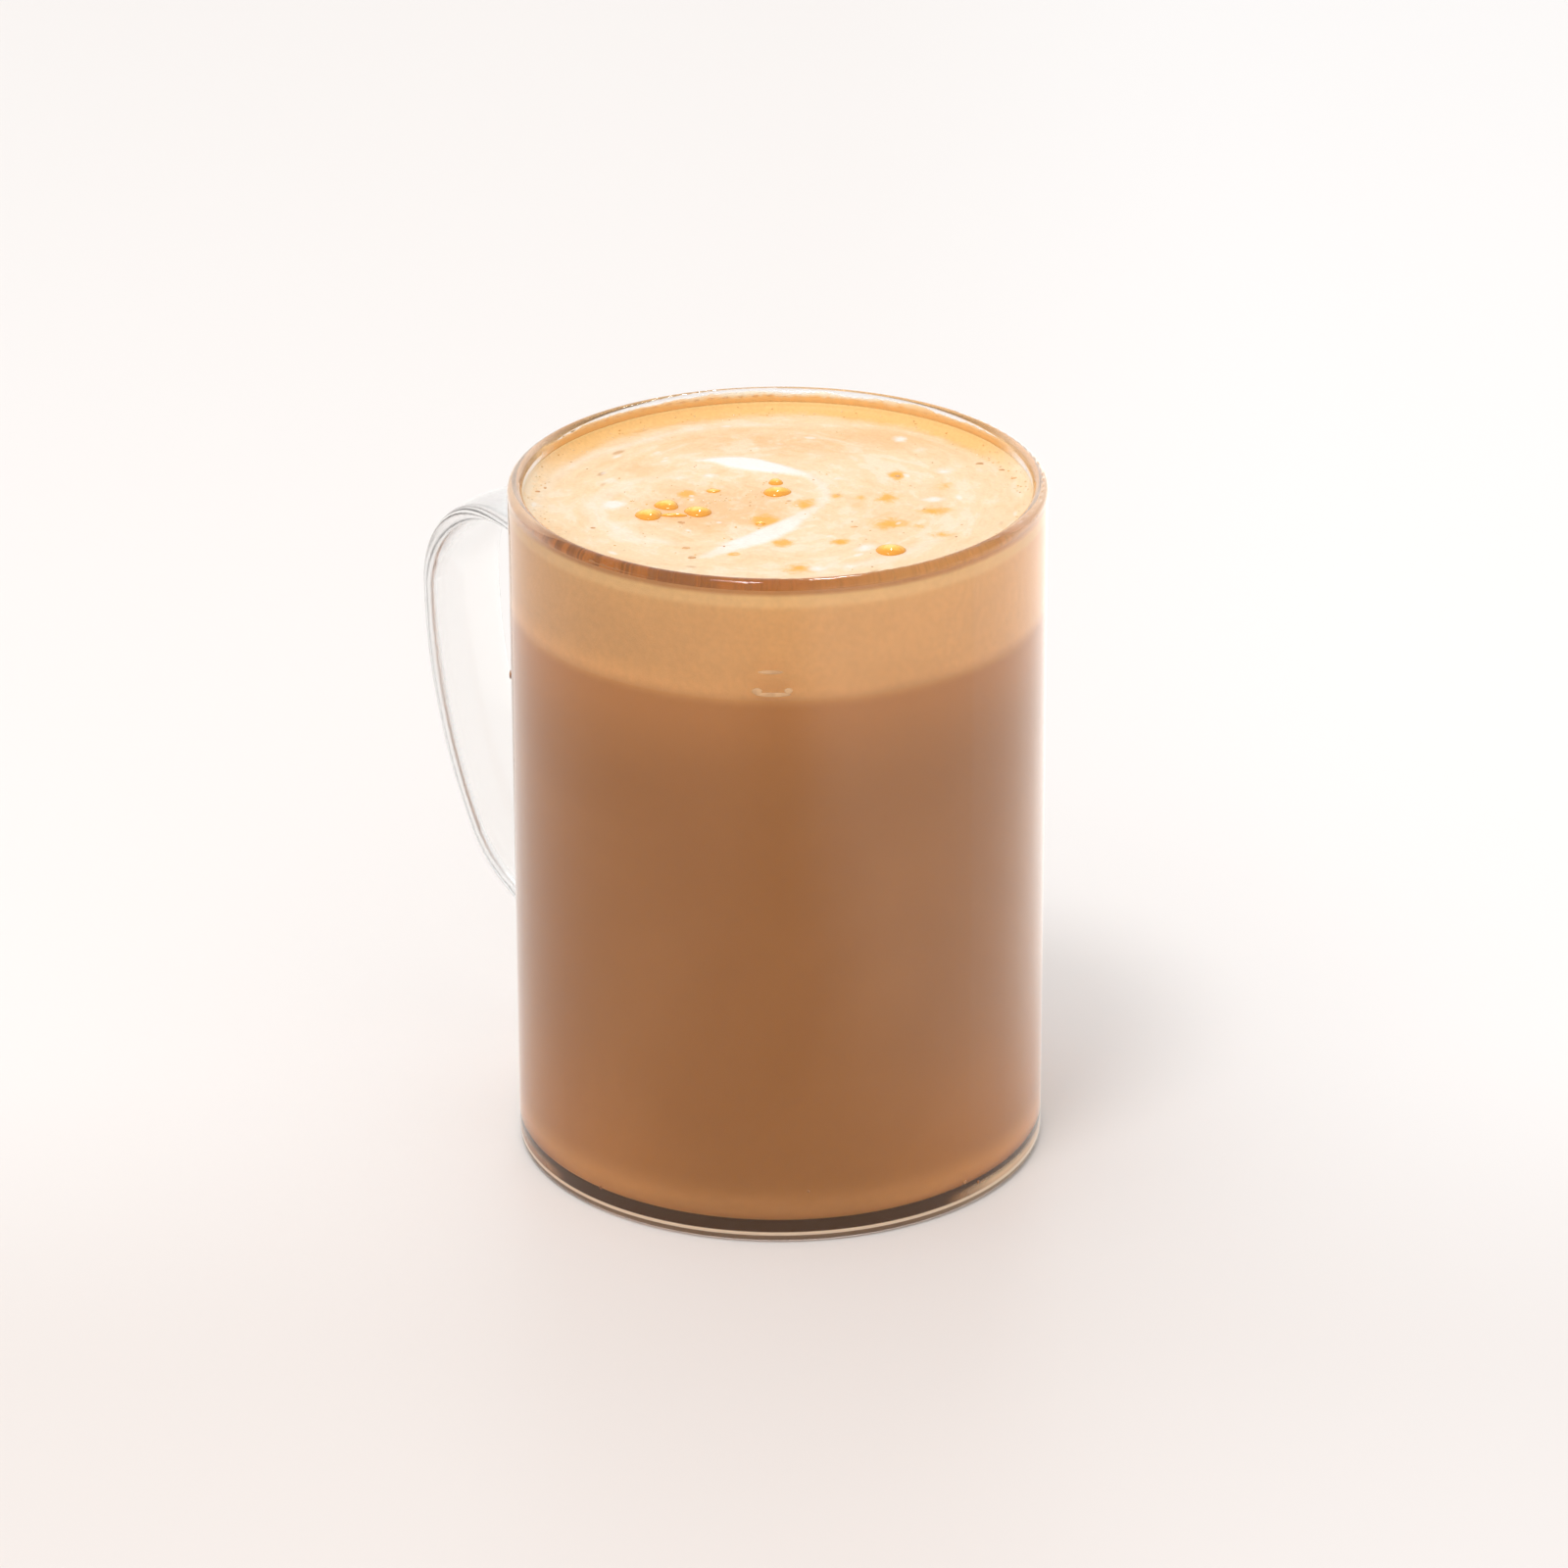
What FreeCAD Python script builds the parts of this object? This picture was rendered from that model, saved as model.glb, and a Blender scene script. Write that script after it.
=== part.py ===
"""Zebra mocha: a milky chocolate coffee with a foam cap, served in a clear glass mug.

Millimetres, +Z up. The origin is the middle of the flat base, on the mug's axis, and the
handle points along -X. Three pieces: the glass with its fused strap handle, the mocha that
fills it, and the milk foam that floats on the mocha and climbs the wall a little.
"""
import FreeCAD, Part
import math
import os

import Sketcher

# Driving sizes, in millimetres: name, value, what it measures.
SIZES = [
    ("mug_diameter", 80.0, "outside of the straight glass wall"),
    ("mug_height", 106.0, "base to the top of the rim"),
    ("wall_thickness", 2.2, "glass wall"),
    ("base_thickness", 2.4, "glass under the drink"),
    ("rim_round", 1.05, "radius of the melted edges of the rim"),
    ("heel_round", 0.9, "radius of the outer corner at the base"),
    ("inner_corner", 4.2, "radius of the inner corner at the base"),
    ("handle_width", 15.0, "strap, across"),
    ("handle_thickness", 4.0, "strap, through its crowned middle"),
    ("handle_edge", 1.3, "radius of the strap's rounded edges"),
    ("handle_reach", 30.0, "wall to the strap's middle line, at its widest"),
    ("handle_belly_drop", 34.0, "rim down to where the handle is widest"),
    ("handle_top_drop", 21.2, "rim down to where the strap leaves the wall"),
    ("handle_shoulder", 15.0, "radius of the bend at the top"),
    ("handle_heel_reach", 20.2, "wall to the strap where it turns back in"),
    ("handle_heel_height", 33.0, "base up to where the strap turns back in"),
    ("handle_heel", 18.0, "radius of the bend at the bottom"),
    ("handle_foot_height", 17.3, "base up to where the strap rejoins the wall"),
    ("handle_root_depth", 4.0, "strap carried in past the outer face; the bore trims what shows"),
    ("root_round", 2.5, "radius of the melted joint between strap and wall"),
    ("drink_clearance", 0.05, "between the glass and what fills it"),
    ("foam_drop", 3.3, "rim down to the flat of the foam"),
    ("foam_depth", 15.7, "foam, from its flat down to the mocha"),
    ("meniscus_reach", 1.8, "how far in from the wall the foam starts to climb"),
    ("meniscus_height", 1.5, "how high the foam climbs the wall"),
]

# Expressions that several pieces share.
OUTER_RADIUS = "Sizes.mug_diameter / 2"
BORE_RADIUS = "(Sizes.mug_diameter / 2 - Sizes.wall_thickness)"
DRINK_RADIUS = f"({BORE_RADIUS} - Sizes.drink_clearance)"
DRINK_BOTTOM = "(Sizes.base_thickness + Sizes.drink_clearance)"
DRINK_CORNER = "(Sizes.inner_corner - Sizes.drink_clearance)"
FOAM_FLAT = "(Sizes.mug_height - Sizes.foam_drop)"
FOAM_BOTTOM = f"({FOAM_FLAT} - Sizes.foam_depth)"

START, END, CENTRE = 1, 2, 3            # the points of a sketched line or arc
X_AXIS, Y_AXIS = -1, -2                 # a sketch's own axes; (X_AXIS, START) is its origin
ORIGIN = (X_AXIS, START)
SAME = 0.01                             # two lengths nearer than this are the same
RIM_SHARE = 0.48                   # most of the wall that one rim edge may round away


def make_sheet(doc):
    """The spreadsheet of driving sizes."""
    sheet = doc.addObject("Spreadsheet::Sheet", "Sizes")
    for row, (name, value, meaning) in enumerate(SIZES, start=1):
        sheet.set(f"A{row}", name)
        sheet.set(f"B{row}", str(value))
        sheet.set(f"C{row}", meaning)
        sheet.setAlias(f"B{row}", name)
    doc.recompute()
    return sheet


def make_body(doc, label):
    """An empty body at the part's origin."""
    body = doc.addObject("PartDesign::Body", label)
    body.Label = label
    body.Placement = FreeCAD.Placement()
    return body


def make_sketch(body, name, role):
    """A sketch on one of the body's own origin planes."""
    plane = next(item for item in body.Origin.OriginFeatures if item.Role == role)
    sketch = body.newObject("Sketcher::SketchObject", name)
    sketch.AttachmentSupport = [(plane, "")]
    sketch.MapMode = "FlatFace"
    return sketch


def number(owner, expression):
    """The value of an expression of the sheet's sizes, as a plain number."""
    value = owner.evalExpression(expression)
    return float(getattr(value, "Value", value))


def line(sketch, start, end):
    """Sketch a line between two (x, y) points."""
    a = FreeCAD.Vector(start[0], start[1], 0)
    b = FreeCAD.Vector(end[0], end[1], 0)
    return sketch.addGeometry(Part.LineSegment(a, b), False)


def arc(sketch, centre, radius, first, last):
    """Sketch an arc about a centre, anticlockwise between two angles in degrees."""
    circle = Part.Circle(FreeCAD.Vector(centre[0], centre[1], 0), FreeCAD.Vector(0, 0, 1), radius)
    return sketch.addGeometry(Part.ArcOfCircle(circle, math.radians(first), math.radians(last)), False)


def tie(sketch, kind, *points):
    """Add a geometric constraint."""
    sketch.addConstraint(Sketcher.Constraint(kind, *points))


def size(sketch, name, expression, kind, *points):
    """Add a named dimension and bind it to an expression of the sheet's sizes."""
    value = number(sketch, expression)
    index = sketch.addConstraint(Sketcher.Constraint(kind, *points, value))
    sketch.renameConstraint(index, name)
    sketch.setExpression(f"Constraints.{name}", expression)


def measure(sketch, name, kind, *points):
    """Add a named dimension that only reports what the others fix."""
    index = sketch.addConstraint(Sketcher.Constraint(kind, *points, 1.0))
    sketch.setDriving(index, False)
    sketch.renameConstraint(index, name)


def revolve(body, sketch, name, kind="PartDesign::Revolution"):
    """Turn a sketch a full turn about the part's vertical axis, to add or, as a Groove, to cut."""
    turned = body.newObject(kind, name)
    turned.Profile = sketch
    turned.ReferenceAxis = (sketch, ["V_Axis"])
    turned.Angle = 360
    sketch.Visibility = False
    body.Document.recompute()
    return turned


def round_edges(body, base, names, name, radius_expression):
    """Fillet the named edges of a feature."""
    fillet = body.newObject("PartDesign::Fillet", name)
    fillet.Base = (base, names)
    fillet.Radius = number(fillet, radius_expression)
    fillet.setExpression("Radius", radius_expression)
    body.Document.recompute()
    return fillet


def ring_names(shape, radius, height):
    """Names of the round edges of a given radius at a given height."""
    names = []
    for index, edge in enumerate(shape.Edges, start=1):
        curve = edge.Curve
        if not isinstance(curve, Part.Circle):
            continue
        if abs(curve.Radius - radius) < SAME and abs(curve.Center.z - height) < SAME:
            names.append(f"Edge{index}")
    return names


def root_names(shape, radius):
    """Names of the edges where the handle meets the outer wall."""
    names = []
    for index, edge in enumerate(shape.Edges, start=1):
        if isinstance(edge.Curve, (Part.Circle, Part.Line)):
            continue
        middle = edge.valueAt((edge.FirstParameter + edge.LastParameter) / 2)
        if abs(math.hypot(middle.x, middle.y) - radius) < SAME:
            names.append(f"Edge{index}")
    return names


def sketch_blank(body):
    """Half section of the glass blank: a plain cylinder."""
    sketch = make_sketch(body, "blank_section", "XZ_Plane")
    radius = number(sketch, OUTER_RADIUS)
    height = number(sketch, "Sizes.mug_height")
    base = line(sketch, (0, 0), (radius, 0))
    wall = line(sketch, (radius, 0), (radius, height))
    top = line(sketch, (radius, height), (0, height))
    axis = line(sketch, (0, height), (0, 0))
    for one, other in ((base, wall), (wall, top), (top, axis), (axis, base)):
        tie(sketch, "Coincident", one, END, other, START)
    tie(sketch, "Coincident", base, START, *ORIGIN)
    for flat in (base, top):
        tie(sketch, "Horizontal", flat)
    for upright in (wall, axis):
        tie(sketch, "Vertical", upright)
    size(sketch, "radius", OUTER_RADIUS, "DistanceX", base, START, base, END)
    size(sketch, "height", "Sizes.mug_height", "DistanceY", wall, START, wall, END)
    return sketch


def sketch_well(sketch, radius_rule, bottom_rule, corner_rule, top_rule):
    """Half section of a round well with a rounded bottom corner: the bore, or what fills it."""
    radius = number(sketch, radius_rule)
    bottom = number(sketch, bottom_rule)
    corner = number(sketch, corner_rule)
    top = number(sketch, top_rule)
    floor = line(sketch, (0, bottom), (radius - corner, bottom))
    bend = arc(sketch, (radius - corner, bottom + corner), corner, -90, 0)
    side = line(sketch, (radius, bottom + corner), (radius, top))
    lid = line(sketch, (radius, top), (0, top))
    axis = line(sketch, (0, top), (0, bottom))
    tie(sketch, "Tangent", floor, END, bend, START)
    tie(sketch, "Tangent", bend, END, side, START)
    for one, other in ((side, lid), (lid, axis), (axis, floor)):
        tie(sketch, "Coincident", one, END, other, START)
    for flat in (floor, lid):
        tie(sketch, "Horizontal", flat)
    tie(sketch, "Vertical", side)
    tie(sketch, "PointOnObject", axis, START, Y_AXIS)
    tie(sketch, "PointOnObject", axis, END, Y_AXIS)
    size(sketch, "radius", radius_rule, "DistanceX", lid, END, lid, START)
    size(sketch, "bottom", bottom_rule, "DistanceY", *ORIGIN, floor, START)
    size(sketch, "corner", corner_rule, "Radius", bend)
    size(sketch, "top", top_rule, "DistanceY", *ORIGIN, lid, END)


def on_ring(centre, radius, angle):
    """The point of a circle at an angle in degrees."""
    spoke = math.radians(angle)
    return (centre[0] + radius * math.cos(spoke), centre[1] + radius * math.sin(spoke))


def touching_angle(mark, centre, radius, side):
    """Where the straight line from a mark touches a circle, as an angle in degrees about it.

    The side is +1 for the touching point anticlockwise of the mark, -1 for the other one.
    """
    away = (mark[0] - centre[0], mark[1] - centre[1])
    half = math.acos(radius / math.hypot(*away))
    return math.degrees(math.atan2(away[1], away[0]) + side * half) % 360


def sketch_handle_path(body):
    """Middle line of the strap: top run, shoulder, long back, heel and bottom run.

    The shoulder ends upright at the belly, the back curves from there to the heel's turn, and
    the two straight runs touch the shoulder and the heel and run on into the wall.
    """
    sketch = make_sketch(body, "handle_path", "XZ_Plane")
    root_rule = f"({OUTER_RADIUS} - Sizes.handle_root_depth)"
    top_rule = "(Sizes.mug_height - Sizes.handle_top_drop)"
    belly_rule = "(Sizes.mug_height - Sizes.handle_belly_drop)"
    reach_rule = f"({OUTER_RADIUS} + Sizes.handle_reach)"
    turn_rule = f"({OUTER_RADIUS} + Sizes.handle_heel_reach)"

    outer = number(sketch, OUTER_RADIUS)
    root = number(sketch, root_rule)
    shoulder_radius = number(sketch, "Sizes.handle_shoulder")
    heel_radius = number(sketch, "Sizes.handle_heel")
    top_mark = (-outer, number(sketch, top_rule))
    foot_mark = (-outer, number(sketch, "Sizes.handle_foot_height"))
    belly = (-number(sketch, reach_rule), number(sketch, belly_rule))
    turn = (-number(sketch, turn_rule), number(sketch, "Sizes.handle_heel_height"))

    inset = turn[0] - belly[0]
    back_radius = (inset ** 2 + (belly[1] - turn[1]) ** 2) / (2 * inset)
    back_centre = (belly[0] + back_radius, belly[1])
    turn_angle = math.degrees(math.atan2(turn[1] - back_centre[1], turn[0] - back_centre[0])) % 360
    shoulder_centre = (belly[0] + shoulder_radius, belly[1])
    heel_centre = on_ring(turn, -heel_radius, turn_angle)
    top_angle = touching_angle(top_mark, shoulder_centre, shoulder_radius, 1)
    foot_angle = touching_angle(foot_mark, heel_centre, heel_radius, -1)

    top_touch = on_ring(shoulder_centre, shoulder_radius, top_angle)
    foot_touch = on_ring(heel_centre, heel_radius, foot_angle)
    top_run = line(sketch, (-root, top_mark[1]), top_touch)
    shoulder = arc(sketch, shoulder_centre, shoulder_radius, top_angle, 180)
    back = arc(sketch, back_centre, back_radius, 180, turn_angle)
    heel = arc(sketch, heel_centre, heel_radius, turn_angle, foot_angle)
    foot_run = line(sketch, foot_touch, (-root, foot_mark[1]))
    top_point = sketch.addGeometry(Part.Point(FreeCAD.Vector(*top_mark, 0)), True)
    foot_point = sketch.addGeometry(Part.Point(FreeCAD.Vector(*foot_mark, 0)), True)

    tie(sketch, "Tangent", top_run, END, shoulder, START)
    tie(sketch, "Tangent", shoulder, END, back, START)
    tie(sketch, "Tangent", back, END, heel, START)
    tie(sketch, "Tangent", heel, END, foot_run, START)
    tie(sketch, "Horizontal", shoulder, CENTRE, back, CENTRE)
    tie(sketch, "PointOnObject", top_point, START, top_run)
    tie(sketch, "PointOnObject", foot_point, START, foot_run)

    size(sketch, "top_root", root_rule, "DistanceX", top_run, START, *ORIGIN)
    size(sketch, "foot_root", root_rule, "DistanceX", foot_run, END, *ORIGIN)
    size(sketch, "top_wall", OUTER_RADIUS, "DistanceX", top_point, START, *ORIGIN)
    size(sketch, "foot_wall", OUTER_RADIUS, "DistanceX", foot_point, START, *ORIGIN)
    size(sketch, "top_height", top_rule, "DistanceY", *ORIGIN, top_point, START)
    size(sketch, "foot_height", "Sizes.handle_foot_height", "DistanceY", *ORIGIN, foot_point, START)
    size(sketch, "belly_height", belly_rule, "DistanceY", *ORIGIN, back, CENTRE)
    size(sketch, "belly_reach", reach_rule, "DistanceX", back, START, *ORIGIN)
    size(sketch, "turn_height", "Sizes.handle_heel_height", "DistanceY", *ORIGIN, back, END)
    size(sketch, "turn_reach", turn_rule, "DistanceX", back, END, *ORIGIN)
    size(sketch, "shoulder_radius", "Sizes.handle_shoulder", "Radius", shoulder)
    size(sketch, "heel_radius", "Sizes.handle_heel", "Radius", heel)
    measure(sketch, "root_height", "DistanceY", *ORIGIN, top_run, START)
    return sketch


def sketch_strap(body):
    """Cross-section of the strap where its path starts: a crowned bar with round edges."""
    sketch = make_sketch(body, "handle_section", "YZ_Plane")
    sketch.setExpression("AttachmentOffset.Base.z", f"-({OUTER_RADIUS} - Sizes.handle_root_depth)")
    sketch.setExpression("AttachmentOffset.Base.y", "handle_path.Constraints.root_height")
    body.Document.recompute()

    edge = number(sketch, "Sizes.handle_edge")
    crown = number(sketch, "Sizes.handle_thickness / 2")
    arm = number(sketch, "Sizes.handle_width / 2") - edge
    curve = (arm ** 2 + crown ** 2 - edge ** 2) / (2 * (crown - edge))
    lean = math.degrees(math.atan2(arm, curve - crown))
    over = arc(sketch, (0, crown - curve), curve, 90 - lean, 90 + lean)
    left = arc(sketch, (-arm, 0), edge, 90 + lean, 270 - lean)
    under = arc(sketch, (0, curve - crown), curve, 270 - lean, 270 + lean)
    right = arc(sketch, (arm, 0), edge, lean - 90, 90 - lean)
    for one, other in ((over, left), (left, under), (under, right), (right, over)):
        tie(sketch, "Tangent", one, END, other, START)
    tie(sketch, "Symmetric", left, CENTRE, right, CENTRE, *ORIGIN)
    tie(sketch, "Equal", left, right)
    tie(sketch, "Equal", over, under)
    tie(sketch, "PointOnObject", over, CENTRE, Y_AXIS)
    size(sketch, "edge", "Sizes.handle_edge", "Radius", left)
    size(sketch, "span", "Sizes.handle_width - 2 * Sizes.handle_edge", "DistanceX",
         left, CENTRE, right, CENTRE)
    crown_rule = "((Sizes.handle_width / 2 - Sizes.handle_edge) ^ 2 + (Sizes.handle_thickness / 2) ^ 2"
    crown_rule += " - Sizes.handle_edge ^ 2) / (Sizes.handle_thickness - 2 * Sizes.handle_edge)"
    size(sketch, "crown", crown_rule, "Radius", over)
    return sketch


def make_glass(doc):
    """The mug: a cylinder blank with its strap handle, bored out and melted smooth."""
    body = make_body(doc, "mug_glass")
    revolve(body, sketch_blank(body), "blank")
    path = sketch_handle_path(body)
    section = sketch_strap(body)
    handle = body.newObject("PartDesign::AdditivePipe", "handle")
    handle.Profile = section
    handle.Spine = (path, [])
    handle.Mode = "Frenet"
    path.Visibility = False
    section.Visibility = False
    doc.recompute()

    bore_section = make_sketch(body, "bore_section", "XZ_Plane")
    sketch_well(bore_section, BORE_RADIUS, "Sizes.base_thickness", "Sizes.inner_corner", "Sizes.mug_height")
    bore = revolve(body, bore_section, "bore", "PartDesign::Groove")
    if bore.Shape.Volume > handle.Shape.Volume / 2:
        raise RuntimeError("the bore did not empty the blank")

    outer = number(body, OUTER_RADIUS)
    inner = number(body, BORE_RADIUS)
    height = number(body, "Sizes.mug_height")
    joint = round_edges(body, bore, root_names(bore.Shape, outer), "handle_joint", "Sizes.root_round")
    heel = round_edges(body, joint, ring_names(joint.Shape, outer, 0), "heel", "Sizes.heel_round")
    rim_edges = ring_names(heel.Shape, outer, height) + ring_names(heel.Shape, inner, height)
    rim_rule = f"min(Sizes.rim_round; {RIM_SHARE} * Sizes.wall_thickness)"
    round_edges(body, heel, rim_edges, "rim", rim_rule)
    return body


def make_mocha(doc):
    """The coffee, from the bottom of the bore up to the foam."""
    body = make_body(doc, "mocha")
    section = make_sketch(body, "mocha_section", "XZ_Plane")
    sketch_well(section, DRINK_RADIUS, DRINK_BOTTOM, DRINK_CORNER, FOAM_BOTTOM)
    revolve(body, section, "mocha_fill")
    return body


def make_foam(doc):
    """The milk foam: a flat disc whose top edge curves up the wall."""
    body = make_body(doc, "milk_foam")
    sketch = make_sketch(body, "foam_section", "XZ_Plane")
    radius = number(sketch, DRINK_RADIUS)
    bottom = number(sketch, FOAM_BOTTOM)
    flat_height = number(sketch, FOAM_FLAT)
    reach = number(sketch, "Sizes.meniscus_reach")
    climb = number(sketch, "Sizes.meniscus_height")
    curve = (reach ** 2 + climb ** 2) / (2 * climb)
    sweep = 2 * math.degrees(math.atan2(climb, reach))

    under = line(sketch, (0, bottom), (radius, bottom))
    side = line(sketch, (radius, bottom), (radius, flat_height + climb))
    meniscus = arc(sketch, (radius - reach, flat_height + curve), curve, -90, sweep - 90)
    flat = line(sketch, (radius - reach, flat_height), (0, flat_height))
    axis = line(sketch, (0, flat_height), (0, bottom))
    tie(sketch, "Coincident", under, END, side, START)
    tie(sketch, "Coincident", side, END, meniscus, END)
    tie(sketch, "Tangent", meniscus, START, flat, START)
    tie(sketch, "Coincident", flat, END, axis, START)
    tie(sketch, "Coincident", axis, END, under, START)
    for level in (under, flat):
        tie(sketch, "Horizontal", level)
    tie(sketch, "Vertical", side)
    tie(sketch, "PointOnObject", axis, START, Y_AXIS)
    tie(sketch, "PointOnObject", axis, END, Y_AXIS)
    size(sketch, "radius", DRINK_RADIUS, "DistanceX", under, START, under, END)
    size(sketch, "bottom", FOAM_BOTTOM, "DistanceY", *ORIGIN, under, START)
    size(sketch, "flat_height", FOAM_FLAT, "DistanceY", *ORIGIN, flat, END)
    size(sketch, "reach", "Sizes.meniscus_reach", "DistanceX", meniscus, START, side, END)
    size(sketch, "climb", "Sizes.meniscus_height", "DistanceY", meniscus, START, side, END)
    revolve(body, sketch, "foam_cap")
    return body


def check(doc, bodies):
    """Stop if any object failed or a piece has no sound shape."""
    for item in doc.Objects:
        if "Invalid" in item.State or "Error" in item.State:
            raise RuntimeError(f"{item.Label} failed: {item.State}")
        if item.TypeId == "Sketcher::SketchObject" and not item.FullyConstrained:
            raise RuntimeError(f"{item.Label} is not fully constrained")
    for body in bodies:
        shape = body.Shape
        if shape.isNull() or not shape.isValid() or len(shape.Solids) != 1:
            raise RuntimeError(f"{body.Label} is not one sound solid")


def main():
    """Build the document, check it and write one STEP file a piece."""
    doc = FreeCAD.newDocument("zebra_mocha")
    make_sheet(doc)
    bodies = [make_glass(doc), make_mocha(doc), make_foam(doc)]
    doc.recompute()
    check(doc, bodies)
    os.makedirs("parts", exist_ok=True)
    for body in bodies:
        body.Shape.exportStep(f"parts/{body.Label}.step")
        box = body.Shape.optimalBoundingBox(False, False)
        print(f"{body.Label}: {body.Shape.Volume / 1000:.2f} ml, x {box.XMin:.2f} to {box.XMax:.2f}, "
              f"z {box.ZMin:.2f} to {box.ZMax:.2f}")


main()
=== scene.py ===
"""The looks of a zebra mocha: a milky chocolate coffee under a cap of milk foam, in its clear glass mug.

Everything is in metres, Z up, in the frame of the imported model: the mug stands on z = 0 about the Z axis and
its handle points to -X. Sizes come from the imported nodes. Small details are placed across and away from a
viewer who looks along +Y turned by VIEW_TURN, and their tables are in millimetres. A Span holds the low and
the high value between which something is eased from 0 to 1, and an Ease also what it is eased from and to.
"""

import logging
import math
from dataclasses import dataclass, field
from enum import Enum

import bpy
import numpy as np
from mathutils import Matrix, Vector, noise


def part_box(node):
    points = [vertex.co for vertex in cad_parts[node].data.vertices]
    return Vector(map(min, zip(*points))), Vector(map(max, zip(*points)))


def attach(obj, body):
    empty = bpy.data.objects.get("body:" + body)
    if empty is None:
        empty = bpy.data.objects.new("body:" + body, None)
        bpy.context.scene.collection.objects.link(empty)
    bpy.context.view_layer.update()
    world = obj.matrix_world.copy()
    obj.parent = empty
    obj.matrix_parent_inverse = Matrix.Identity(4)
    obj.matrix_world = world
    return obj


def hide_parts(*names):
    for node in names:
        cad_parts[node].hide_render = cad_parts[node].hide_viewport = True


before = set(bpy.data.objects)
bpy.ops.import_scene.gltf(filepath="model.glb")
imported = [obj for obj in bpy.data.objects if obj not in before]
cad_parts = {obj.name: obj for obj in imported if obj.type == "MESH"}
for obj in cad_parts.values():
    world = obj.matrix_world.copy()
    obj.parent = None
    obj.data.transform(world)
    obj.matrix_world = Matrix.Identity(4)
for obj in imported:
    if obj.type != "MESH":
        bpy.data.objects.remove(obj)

Colour = tuple[float, float, float]
Place = tuple[float, float, float]
Point = tuple[float, float]
Span = tuple[float, float]
Ease = tuple[float, float, float, float]
Socket = bpy.types.NodeSocket

LOG = logging.getLogger("zebra_mocha")
MM = 0.001
BODY = "root"
VIEW_TURN = math.radians(45.0)
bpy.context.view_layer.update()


class Slot(Enum):
    """The record's material slots."""

    GLASS = "clear_glass"
    MOCHA = "mocha_drink"
    FOAM = "milk_foam"


class Node(Enum):
    """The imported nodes."""

    GLASS = "mug_glass"
    MOCHA = "mocha"
    FOAM = "milk_foam"


class LampShape(Enum):
    """The outlines of a soft lamp."""

    DISK = "DISK"
    RECTANGLE = "RECTANGLE"


# ---------------------------------------------------------------- node trees


@dataclass(frozen=True)
class Noise:
    """A noise of scale waves in a metre, which is about 0.5 on average.

    With low and high given, it is eased: it rises from floor to top between those two values.
    """

    scale: float
    detail: float = 3.0
    rough: float = 0.5
    bend: float = 0.0
    low: float | None = None
    high: float | None = None
    floor: float = 0.0
    top: float = 1.0


class Tree:
    """A node tree, with short ways to add and join its nodes."""

    def __init__(self, tree: bpy.types.NodeTree) -> None:
        """Takes a tree over and empties it."""
        self.tree = tree
        self.tree.nodes.clear()

    def put(self, target: Socket, source: object) -> None:
        """Links a socket into target, or sets target to a number or colour.

        Args:
            target: The input that takes the value.
            source: A socket, a number, or a colour of three numbers.
        """
        if isinstance(source, bpy.types.NodeSocket):
            self.tree.links.new(source, target)
        elif isinstance(source, tuple) and target.type == "RGBA":
            target.default_value = (*source, 1.0)
        else:
            target.default_value = source

    def node(self, kind: str, settings: dict | None = None, inputs: dict | None = None) -> bpy.types.Node:
        """Adds a node.

        Args:
            kind: The node's type name.
            settings: The node's own properties.
            inputs: Values or sockets, by the input's name or number.

        Returns:
            The new node.
        """
        node = self.tree.nodes.new(kind)
        for key, value in (settings or {}).items():
            setattr(node, key, value)
        for key, value in (inputs or {}).items():
            self.put(node.inputs[key], value)
        return node


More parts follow.
